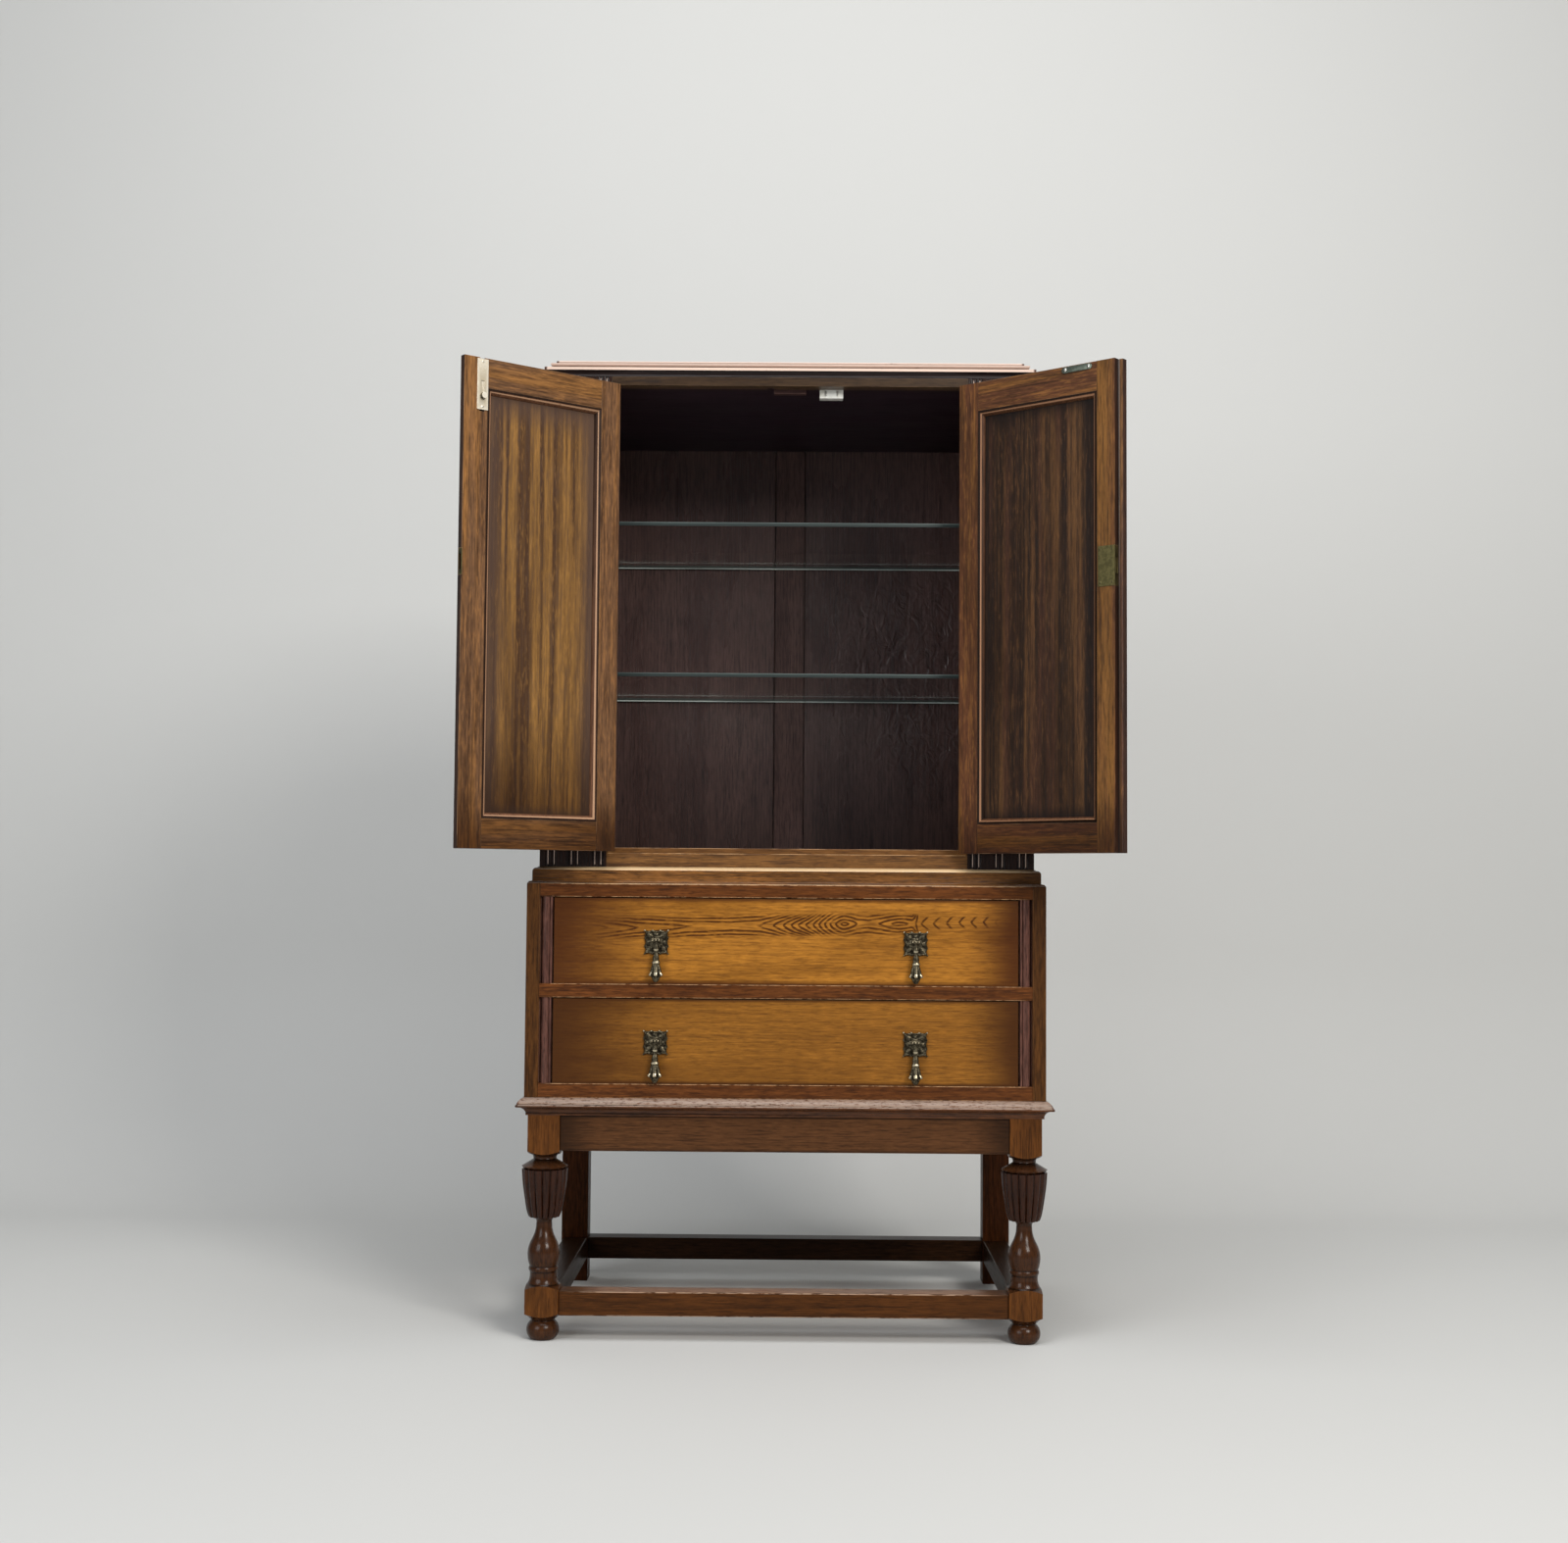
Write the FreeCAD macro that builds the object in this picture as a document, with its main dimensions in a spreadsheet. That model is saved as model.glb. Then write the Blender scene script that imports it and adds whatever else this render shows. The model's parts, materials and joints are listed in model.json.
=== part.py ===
import FreeCAD, Part
import Sketcher
import math
import os
import re

from FreeCAD import Matrix, Placement, Rotation, Vector

# A drinks cabinet in dark stained oak: a stand on two turned and two square legs, a chest of
# two drawers, and a cupboard with two doors, two glass shelves and fluted pilasters.
# Lengths are millimetres and angles are degrees. The origin is on the floor, midway between
# the sides and midway between the back and the tips of the open doors. The front faces -Y.

SIZES = {
    # Overall
    "origin_depth": 160.0,
    "chest_width": 735.0,
    "chest_depth": 490.0,
    # Stand: front legs
    "stand_side_inset": 5.5,
    "stand_setback": 3.0,
    "leg_height": 315.0,
    "leg_block": 45.0,
    "leg_foot_block": 47.0,
    "leg_block_height": 56.0,
    "leg_foot_block_height": 44.0,
    "leg_shoulder": 12.0,
    "leg_shoulder_inset": 0.6,
    "foot_height": 33.0,
    "foot_radius": 23.0,
    "foot_pad_radius": 16.0,
    "foot_neck_radius": 16.0,
    "ring_radius": 21.0,
    "ring_height": 7.0,
    "ring_level": 95.0,
    "taper_radius": 19.7,
    "baluster_radius": 22.7,
    "baluster_bottom": 104.0,
    "baluster_neck_level": 161.5,
    "baluster_neck_radius": 11.3,
    "cup_bottom": 170.5,
    "cup_height": 67.5,
    "cup_bottom_radius": 21.6,
    "cup_rim_radius": 32.6,
    "cup_core_radius": 17.0,
    "cup_rim_height": 4.0,
    "reed_depth": 3.8,
    "leg_neck_level": 251.5,
    "leg_neck_radius": 16.4,
    # Stand: rear legs, aprons and stretchers
    "rear_leg_square": 42.5,
    "apron_height": 50.0,
    "apron_thickness": 20.0,
    "apron_setback": 3.0,
    "stretcher_height": 34.0,
    "stretcher_depth": 38.0,
    "stretcher_rise": 2.5,
    # Mouldings
    "base_moulding_height": 25.0,
    "base_moulding_reach": 11.0,
    "base_moulding_foot": 2.3,
    "moulding_seat": 22.5,
    "waist_height": 24.0,
    "waist_seat": 7.0,
    "cupboard_setback": 15.5,
    "cornice_reach": 2.5,
    "cornice_cove_height": 9.0,
    "cornice_fillet_height": 4.0,
    "cornice_groove_height": 3.5,
    "cornice_bead_height": 4.5,
    "cornice_bead_inset": 5.5,
    "cornice_groove_inset": 9.0,
    "cap_height": 4.5,
    "cap_inset": 13.0,
    "cap_thickness": 12.0,
    # Chest carcass
    "chest_bottom_rail_height": 20.0,
    "lower_opening_height": 120.5,
    "chest_middle_rail_height": 19.5,
    "upper_opening_height": 122.5,
    "chest_top_rail_height": 18.5,
    "rail_thickness": 21.0,
    "chest_side_thickness": 16.0,
    "chest_stile_width": 19.0,
    "strip_base_width": 19.0,
    "strip_setback": 8.0,
    "strip_proud": 6.5,
    "strip_width": 14.5,
    "strip_side_gap": 3.5,
    "strip_narrow_reed": 3.6,
    "chest_board_thickness": 12.0,
    "back_board_thickness": 8.0,
    "back_board_inset": 4.0,
    "runner_width": 33.0,
    "runner_height": 18.0,
    "guide_height": 20.0,
    # Drawers
    "drawer_gap": 1.5,
    "drawer_drop_gap": 0.3,
    "drawer_front_thickness": 20.0,
    "drawer_side_thickness": 10.0,
    "drawer_side_height": 100.0,
    "drawer_back_gap": 38.0,
    "drawer_bottom_thickness": 5.0,
    "drawer_bottom_rise": 8.0,
    "drawer_back_drop": 8.0,
    "drawer_side_inset": 1.0,
    # Drop pulls
    "pull_spacing": 366.0,
    "pull_drop": 2.0,
    "plate_width": 35.0,
    "plate_thickness": 2.5,
    "plate_scallop": 1.9,
    "boss_radius": 10.0,
    "boss_height": 3.0,
    "ear_inner": 3.3,
    "ear_thickness": 2.2,
    "ear_height": 7.5,
    "pivot_reach": 10.0,
    "pivot_rise": 3.0,
    "pivot_pin_radius": 1.3,
    "running_gap": 0.06,
    "eye_radius": 3.4,
    "eye_width": 6.0,
    "drop_length": 59.5,
    "drop_depth_share": 0.64,
    "bolt_radius": 2.2,
    "bolt_hole_gap": 0.3,
    "bolt_tail": 7.0,
    "nut_radius": 5.0,
    "nut_height": 3.5,
    # Cupboard carcass
    "pilaster_width": 94.75,
    "opening_height": 674.0,
    "pilaster_thickness": 21.0,
    "cupboard_rail_height": 20.0,
    "top_rail_height": 13.0,
    "cupboard_side_thickness": 16.0,
    "floor_thickness": 18.0,
    "floor_lip": 8.0,
    "ceiling_thickness": 12.0,
    "ceiling_lift": 2.0,
    "back_panel_thickness": 6.0,
    "back_panel_inset": 13.0,
    "muntin_width": 50.0,
    "muntin_thickness": 14.0,
    "muntin_proud": 3.0,
    "stop_overhang": 10.0,
    "stop_width": 20.0,
    "stop_thickness": 13.5,
    "flute_group_pitch": 33.3,
    "flute_group_edge": 16.4,
    "reed_pitch": 4.4,
    "groove_radius": 1.5,
    # Glass shelves
    "glass_thickness": 6.0,
    "glass_front": 55.0,
    "glass_side_gap": 2.0,
    "glass_back_gap": 2.0,
    "glass_edge_radius": 1.0,
    "upper_shelf_level": 1162.0,
    "lower_shelf_level": 941.5,
    "shelf_pin_radius": 2.5,
    "shelf_pin_length": 12.0,
    "shelf_pin_inset": 40.0,
    # Doors
    "left_door_angle": 141.0,
    "right_door_angle": 140.5,
    "door_thickness": 20.0,
    "door_bottom_gap": 2.0,
    "door_top_gap": 3.0,
    "meeting_gap": 1.5,
    "hinge_stile_width": 32.0,
    "left_meeting_stile_width": 37.0,
    "right_meeting_stile_width": 28.0,
    "door_rail_height": 41.0,
    "door_panel_thickness": 6.0,
    "door_panel_inset": 7.0,
    "bead_width": 8.0,
    "lip_width": 6.0,
    "lip_thickness": 9.5,
    "lip_gap": 1.5,
    "lip_face_gap": 0.5,
    # Hinges
    "hinge_length": 64.0,
    "hinge_end_distance": 90.0,
    "hinge_leaf_thickness": 0.9,
    "hinge_leaf_gap": 0.3,
    "hinge_leaf_width": 17.0,
    "hinge_pin_proud": 2.6,
    "hinge_knuckle_radius": 2.6,
    "hinge_pin_radius": 1.2,
    "hinge_pin_gap": 0.05,
    "knuckle_gap": 0.3,
    # Lock, bolt and catch
    "lock_level": 1074.0,
    "lock_width": 26.0,
    "lock_height": 55.0,
    "lock_depth": 9.0,
    "lock_proud": 0.8,
    "lock_bolt_height": 20.0,
    "lock_bolt_thickness": 5.0,
    "lock_bolt_length": 16.0,
    "lock_bolt_travel": 6.0,
    "lock_bolt_gap": 0.2,
    "keeper_height": 36.0,
    "keeper_thickness": 1.0,
    "keeper_width": 9.0,
    "keeper_slot_height": 21.6,
    "keeper_slot_width": 6.0,
    "keeper_pocket_depth": 9.0,
    "escutcheon_radius": 8.0,
    "escutcheon_height": 2.4,
    "escutcheon_level": 1062.0,
    "escutcheon_edge": 17.0,
    "key_hole_radius": 1.6,
    "strike_length": 48.0,
    "strike_height": 8.5,
    "strike_thickness": 1.2,
    "strike_place": 60.0,
    "strike_top_gap": 1.0,
    "strike_screw_spacing": 37.0,
    "strike_screw_radius": 1.8,
    "bolt_plate_width": 17.0,
    "bolt_plate_height": 70.0,
    "bolt_plate_thickness": 1.2,
    "bolt_plate_place": 29.0,
    "bolt_plate_top_gap": 2.0,
    "bolt_bar_width": 7.0,
    "bolt_bar_thickness": 3.8,
    "bolt_bar_height": 63.0,
    "bolt_bar_gap": 0.4,
    "bolt_travel": 9.0,
    "bolt_slot_width": 5.0,
    "bolt_slot_height": 24.0,
    "bolt_knob_drop": 51.0,
    "bolt_knob_radius": 4.2,
    "bolt_knob_reach": 7.0,
    "bolt_stem_radius": 1.8,
    "catch_width": 34.0,
    "catch_height": 14.0,
    "catch_depth": 15.0,
    "catch_gap": 0.3,
    "catch_pole_width": 3.0,
    "catch_pole_proud": 0.4,
    "stop_block_width": 47.0,
    "stop_block_height": 8.0,
    "stop_block_depth": 12.0,
    "stop_block_gap": 0.4,
    # Cuts
    "overrun": 5.0,
}

PLACES = {
    # Planes and levels of the stand and chest
    "front_plane": "-origin_depth",
    "back_plane": "front_plane + chest_depth",
    "chest_half": "chest_width / 2",
    "stand_width": "chest_width - 2 * stand_side_inset",
    "stand_half": "stand_width / 2",
    "leg_front": "front_plane + stand_setback",
    "leg_axis": "stand_half - leg_block / 2",
    "leg_axis_depth": "leg_front + leg_block / 2",
    "rear_leg_front": "back_plane - rear_leg_square",
    "rear_leg_inner": "stand_half - rear_leg_square",
    "stretcher_level": "foot_height + stretcher_rise",
    "chest_bottom": "leg_height + base_moulding_height",
    "lower_opening_bottom": "chest_bottom + chest_bottom_rail_height",
    "lower_opening_top": "lower_opening_bottom + lower_opening_height",
    "upper_opening_bottom": "lower_opening_top + chest_middle_rail_height",
    "upper_opening_top": "upper_opening_bottom + upper_opening_height",
    "chest_top": "upper_opening_top + chest_top_rail_height",
    "chest_rail_back": "front_plane + rail_thickness",
    "chest_inner_half": "chest_half - chest_side_thickness",
    "chest_stile_inner": "chest_half - chest_stile_width",
    "drawer_opening_half": "chest_stile_inner - strip_base_width",
    "chest_back_front": "back_plane - back_board_inset - back_board_thickness",
    "drawer_half": "drawer_opening_half - drawer_gap",
    "drawer_side_outer": "drawer_half - drawer_side_inset",
    "drawer_side_inner": "drawer_side_outer - drawer_side_thickness",
    "drawer_front_back": "front_plane + drawer_front_thickness",
    "drawer_end": "chest_back_front - drawer_back_gap",
    "upper_pull_level": "upper_opening_bottom + upper_opening_height / 2 - pull_drop",
    "lower_pull_level": "lower_opening_bottom + lower_opening_height / 2 - pull_drop",
    # Planes and levels of the cupboard
    "waist_top": "chest_top + waist_height",
    "cupboard_half": "chest_half - cupboard_setback",
    "cupboard_inner": "cupboard_half - cupboard_side_thickness",
    "cupboard_front": "front_plane + cupboard_setback",
    "pilaster_back": "cupboard_front + pilaster_thickness",
    "opening_width": "2 * cupboard_half - 2 * pilaster_width",
    "opening_half": "opening_width / 2",
    "opening_bottom": "waist_top + cupboard_rail_height",
    "opening_top": "opening_bottom + opening_height",
    "floor_top": "opening_bottom + floor_lip",
    "ceiling_level": "opening_top + ceiling_lift",
    "cornice_bottom": "opening_top + top_rail_height",
    "cornice_fillet_level": "cornice_cove_height + cornice_fillet_height",
    "cornice_groove_level": "cornice_fillet_level + cornice_groove_height",
    "cornice_height": "cornice_groove_level + cornice_bead_height",
    "cornice_top": "cornice_bottom + cornice_height",
    "cabinet_top": "cornice_top + cap_height",
    "back_panel_front": "back_plane - back_panel_inset - back_panel_thickness",
    "muntin_front": "back_panel_front - muntin_proud",
    "glass_half": "cupboard_inner - glass_side_gap",
    "glass_front_plane": "front_plane + glass_front",
    "glass_back_plane": "muntin_front - glass_back_gap",
    # Planes and levels of the doors, closed
    "hinge_gap": "2 * hinge_leaf_thickness + hinge_leaf_gap",
    "hinge_axis": "opening_half - hinge_gap / 2",
    "hinge_axis_depth": "cupboard_front - hinge_pin_proud",
    "door_outer": "opening_half - hinge_gap",
    "door_inner": "meeting_gap / 2",
    "door_back": "cupboard_front + door_thickness",
    "door_bottom": "opening_bottom + door_bottom_gap",
    "door_top": "opening_top - door_top_gap",
    "panel_outer": "door_outer - hinge_stile_width",
    "left_panel_inner": "door_inner + left_meeting_stile_width",
    "right_panel_inner": "door_inner + right_meeting_stile_width",
    "panel_bottom": "door_bottom + door_rail_height",
    "panel_top": "door_top - door_rail_height",
    "panel_front": "cupboard_front + door_panel_inset",
    "panel_back": "panel_front + door_panel_thickness",
    "lock_front": "door_back - lock_depth",
    "lock_bolt_axis_depth": "door_back - lock_depth / 2",
    "bolt_bar_front": "door_back - bolt_bar_gap - bolt_bar_thickness",
    "bolt_bar_top": "door_top - bolt_plate_top_gap",
    "catch_front": "door_back + strike_thickness + catch_gap",
}

# Outlines of the turned work and mouldings, as shares of the sizes that they follow
FOOT_NECK_SHARE = 0.82
TAPER_BEND_SHARE = 0.25
NECK_BEND_RADIUS_SHARE = 1 / 3
NECK_BEND_LEVEL_SHARE = 0.8
BALUSTER_LEVEL_SHARES = (0.0, 0.14, 0.32, 0.55, 0.68, 0.84, 1.0)
BALUSTER_RADIUS_SHARES = (0.80, 0.97, 1.0, 0.68, 0.35, 0.08, 0.0)
CUP_LEVEL_SHARES = (0.0, 0.14, 0.30, 0.53, 0.80, 1.0)
CUP_RADIUS_SHARES = (0.0, 0.32, 0.50, 0.72, 0.92, 1.0)
REED_COUNT = 16
FLUTE_GROUPS = 3
REEDS_PER_GROUP = 3
BASE_FILLET_SHARE = 0.14
BASE_COVE_SHARE = 0.46
BASE_NOSE_SHARE = 0.62
BASE_COVE_REACH_SHARE = 0.86
BASE_COVE_BEND_SHARES = (0.3, 0.7)
BASE_SLOPE_BEND_SHARES = (0.5, 0.88)
CORNICE_COVE_BEND_SHARES = (0.4, 0.6)
WAIST_STEP_SHARES = ((1.0, 0.0), (0.84, 0.12), (0.58, 0.16), (0.58, 0.72))
WAIST_OVOLO_SHARES = ((0.46, 0.88), (0.2, 0.93), (0.05, 1.0))
DROP_LEVEL_SHARES = (0.04, 0.16, 0.27, 0.33, 0.38, 0.46, 0.60, 0.74, 0.84, 0.90, 0.96, 1.0)
DROP_WIDTH_SHARES = (0.24, 0.20, 0.32, 0.48, 0.26, 0.52, 0.74, 0.70, 0.84, 1.0, 0.52, 0.16)
DROP_HALF_WIDTH_SHARE = 0.19
SCALLOPS_PER_SIDE = 3
ESCUTCHEON_DOME_SHARE = 0.8

# The size that a sketch is first drawn at, before the sheet's sizes are bound to it
SKETCH_START = 1.0

doc = FreeCAD.newDocument("DrinksCabinet")
nodes = []


def bound(text):
    """Write an expression on size names as one on the cells of the two sheets."""
    def reference(match):
        word = match.group(0)
        if word in SIZES:
            return f"Sizes.{word}"
        if word in PLACES:
            return f"Places.{word}"
        return word
    return re.sub(r"[a-z][a-z_]*", reference, text)


def make_sheets():
    """Put the driving sizes in one sheet and the places worked out from them in another."""
    sizes = doc.addObject("Spreadsheet::Sheet", "Sizes")
    for row, (name, value) in enumerate(SIZES.items(), start=1):
        sizes.set(f"A{row}", name)
        sizes.set(f"B{row}", str(value))
        sizes.setAlias(f"B{row}", name)
    places = doc.addObject("Spreadsheet::Sheet", "Places")
    for row, name in enumerate(PLACES, start=1):
        places.set(f"A{row}", name)
        places.setAlias(f"B{row}", name)
    for row, formula in enumerate(PLACES.values(), start=1):
        places.set(f"B{row}", "=" + bound(formula).replace("Places.", ""))
    doc.recompute()
    return sizes, places


size_sheet, place_sheet = make_sheets()


def length(name):
    """Read one named size or place."""
    sheet = size_sheet if name in SIZES else place_sheet
    return float(sheet.get(name))


def span(side, near, far):
    """Low and high X of a piece that lies between two distances from the middle."""
    if side == "left":
        return f"-({far})", f"-({near})"
    return near, far


def board(label, across, along, up):
    """A rectangular piece between pairs of expressions in X, Y and Z."""
    box = doc.addObject("Part::Box", label)
    for name, axis, (low, high) in zip(("Length", "Width", "Height"), "xyz", (across, along, up)):
        box.setExpression(name, bound(f"({high}) - ({low})"))
        box.setExpression(f"Placement.Base.{axis}", bound(low))
    return box


def rod(label, radius, start, end, at, axis):
    """A round piece along one axis, between two expressions, with its middle at the other two."""
    cylinder = doc.addObject("Part::Cylinder", label)
    cylinder.setExpression("Radius", bound(radius))
    cylinder.setExpression("Height", bound(f"({end}) - ({start})"))
    turns = {"x": Rotation(Vector(0, 1, 0), 90), "y": Rotation(Vector(1, 0, 0), -90), "z": Rotation()}
    cylinder.Placement = Placement(Vector(), turns[axis])
    places = dict(zip([name for name in "xyz" if name != axis], at))
    places[axis] = start
    for name, text in places.items():
        cylinder.setExpression(f"Placement.Base.{name}", bound(text))
    return cylinder


def together(label, pieces):
    """Separate solids in one object."""
    group = doc.addObject("Part::Compound", label)
    group.Links = pieces
    return group


def cut(label, base, tools):
    """One piece with the tools taken out of it."""
    piece = doc.addObject("Part::Cut", label)
    piece.Base = base
    piece.Tool = tools[0] if len(tools) == 1 else together(f"{label}_tools", tools)
    return piece


def fuse(label, pieces):
    """One piece made of several that touch."""
    piece = doc.addObject("Part::MultiFuse", label)
    piece.Shapes = pieces
    return piece


def formed(label, shape, at=None):
    """A piece whose shape is worked out from the sheets."""
    piece = doc.addObject("Part::Feature", label)
    piece.Shape = shape
    piece.Placement = Placement(at or Vector(), Rotation())
    return piece


def keep(piece):
    """Mark an object as one of the cabinet's nodes."""
    nodes.append(piece)
    return piece


def swung(label, side, pieces):
    """Pieces of a door, modelled closed, turned about the hinge axis to where the door stands."""
    door = together(label, pieces)
    turn = "-left_door_angle" if side == "left" else "right_door_angle"
    axis = "-hinge_axis" if side == "left" else "hinge_axis"
    door.setExpression("Placement", bound(
        f"create(<<placement>>; create(<<vector>>; 0; 0; 0); "
        f"create(<<rotation>>; create(<<vector>>; 0; 0; 1); {turn}); "
        f"create(<<vector>>; {axis}; hinge_axis_depth; 0))"))
    return keep(door)


# Outlines and extrusions

def outline_face(points, at, last_middle=None):
    """A face from points, each (a, b), or (middle, end) for an arc; at() puts a and b in space.

    The outline closes with a line, or with an arc where last_middle is given.
    """
    edges = []
    last = points[0]
    closing = (last_middle, points[0]) if last_middle else points[0]
    for point in points[1:] + [closing]:
        if isinstance(point[0], tuple):
            middle, end = point
            edges.append(Part.Arc(at(*last), at(*middle), at(*end)).toShape())
        else:
            end = point
            edges.append(Part.makeLine(at(*last), at(*end)))
        last = end
    return Part.Face(Part.Wire(edges))


def flat_prism(corners, low, high):
    """An upright prism on corners in X and Y."""
    ring = [Vector(x, y, low) for x, y in corners]
    return Part.Face(Part.makePolygon(ring + ring[:1])).extrude(Vector(0, 0, high - low))


def three_sided_moulding(points, half, front, back, seat, reach, level):
    """Front, left and right lengths of a moulding, mitred at the front corners.

    points gives the section as (distance outwards, height). half and front are the
    planes that distances are counted from, and seat is how far the section goes inwards.
    """
    over = length("overrun")
    high = level + max(point[1] for point in points if not isinstance(point[1], tuple)) + over
    low = level - over
    wide = half + reach
    near = front - reach
    narrow = half - seat
    deep = front + seat
    run = outline_face(points, lambda out, up: Vector(-wide, front - out, level + up))
    run = run.extrude(Vector(2 * wide, 0, 0))
    mitre = flat_prism([(-wide, near), (wide, near), (narrow, deep), (-narrow, deep)], low, high)
    runs = [run.common(mitre)]
    for sign in (-1, 1):
        run = outline_face(points, lambda out, up: Vector(sign * (half + out), near, level + up))
        run = run.extrude(Vector(0, back - near, 0))
        corners = [(sign * wide, near), (sign * narrow, deep), (sign * narrow, back), (sign * wide, back)]
        runs.append(run.common(flat_prism(corners, low, high)))
    return Part.makeCompound([shape.Solids[0] for shape in runs])


def framed_bead(near, far, bottom, top, face, depth, width):
    """Four mitred strips of bead inside an upright rectangle, against its edges."""
    rounding = width * (1 - math.sqrt(0.5))
    toward = depth * (1 - math.sqrt(0.5))
    points = [(0, 0), (0, depth), ((width - rounding, depth - toward), (width, 0))]
    middle_across = (near + far) / 2
    middle_up = (bottom + top) / 2
    strips = []
    places = (
        ((0, bottom), (1, 0), (near, far)),
        ((0, top), (-1, 0), (near, far)),
        ((near, 0), (0, 1), (bottom, top)),
        ((far, 0), (0, -1), (bottom, top)),
    )
    for (across, up), (rise, lean), (start, end) in places:
        if rise:
            strip = outline_face(points, lambda a, b: Vector(start, face + b, up + rise * a))
            strip = strip.extrude(Vector(end - start, 0, 0))
            inner = up + rise * width
            corners = [(start, up), (end, up), (end - width, inner), (start + width, inner)]
        else:
            strip = outline_face(points, lambda a, b: Vector(across + lean * a, face + b, start))
            strip = strip.extrude(Vector(0, 0, end - start))
            inner = across + lean * width
            corners = [(across, start), (across, end), (inner, end - width), (inner, start + width)]
        ring = [Vector(x, face - abs(depth), z) for x, z in corners]
        prism = Part.Face(Part.makePolygon(ring + ring[:1])).extrude(Vector(0, 2 * abs(depth), 0))
        strips.append(strip.common(prism).Solids[0])
    return strips


# Stand

def lobed_wire(radius, level):
    """The outline of the reeded cup at one level: round reeds with sharp valleys."""
    valley = radius - length("reed_depth")
    step = 2 * math.pi / REED_COUNT
    edges = []
    for index in range(REED_COUNT):
        ends = [(index + share) * step for share in (0.0, 0.5, 1.0)]
        reach = (valley, radius, valley)
        marks = [Vector(r * math.cos(a), r * math.sin(a), level) for r, a in zip(reach, ends)]
        edges.append(Part.Arc(*marks).toShape())
    return Part.Wire(edges)


def turned(points):
    """A solid turned about Z from points in radius and height, closed along the axis."""
    start = (0.0, points[0][1])
    last = points[-1]
    end = last[1] if isinstance(last[0], tuple) else last
    face = outline_face([start] + points + [(0.0, end[1])], lambda r, z: Vector(r, 0, z))
    return face.revolve(Vector(), Vector(0, 0, 1), 360)


def leg_block_shape(square, low, high, shoulder_low, shoulder_high):
    """A square block whose ends are turned down to round shoulders where it meets the turning."""
    half = square / 2
    over = length("overrun")
    shoulder = length("leg_shoulder")
    neck = half - length("leg_shoulder_inset")
    lower = [(neck, low), (square, low + shoulder)] if shoulder_low else [(square, low - over)]
    upper = [(square, high - shoulder), (neck, high)] if shoulder_high else [(square, high + over)]
    box = Part.makeBox(square, square, high - low, Vector(-half, -half, low))
    return turned(lower + upper).common(box).Solids[0]


def blend_curve(levels, radii):
    """A smooth curve through levels and radii, as one edge."""
    curve = Part.BSplineCurve()
    curve.interpolate([Vector(r, 0, z) for r, z in zip(radii, levels)])
    return curve.toShape()


def revolved_edges(edges):
    """A solid turned from open edges that start and end off the axis."""
    first = edges[0].Vertexes[0].Point
    last = edges[-1].Vertexes[-1].Point
    closing = [
        Part.makeLine(Vector(0, 0, first.z), first),
        *edges,
        Part.makeLine(last, Vector(0, 0, last.z)),
        Part.makeLine(Vector(0, 0, last.z), Vector(0, 0, first.z)),
    ]
    return Part.Face(Part.Wire(closing)).revolve(Vector(), Vector(0, 0, 1), 360)


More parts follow.
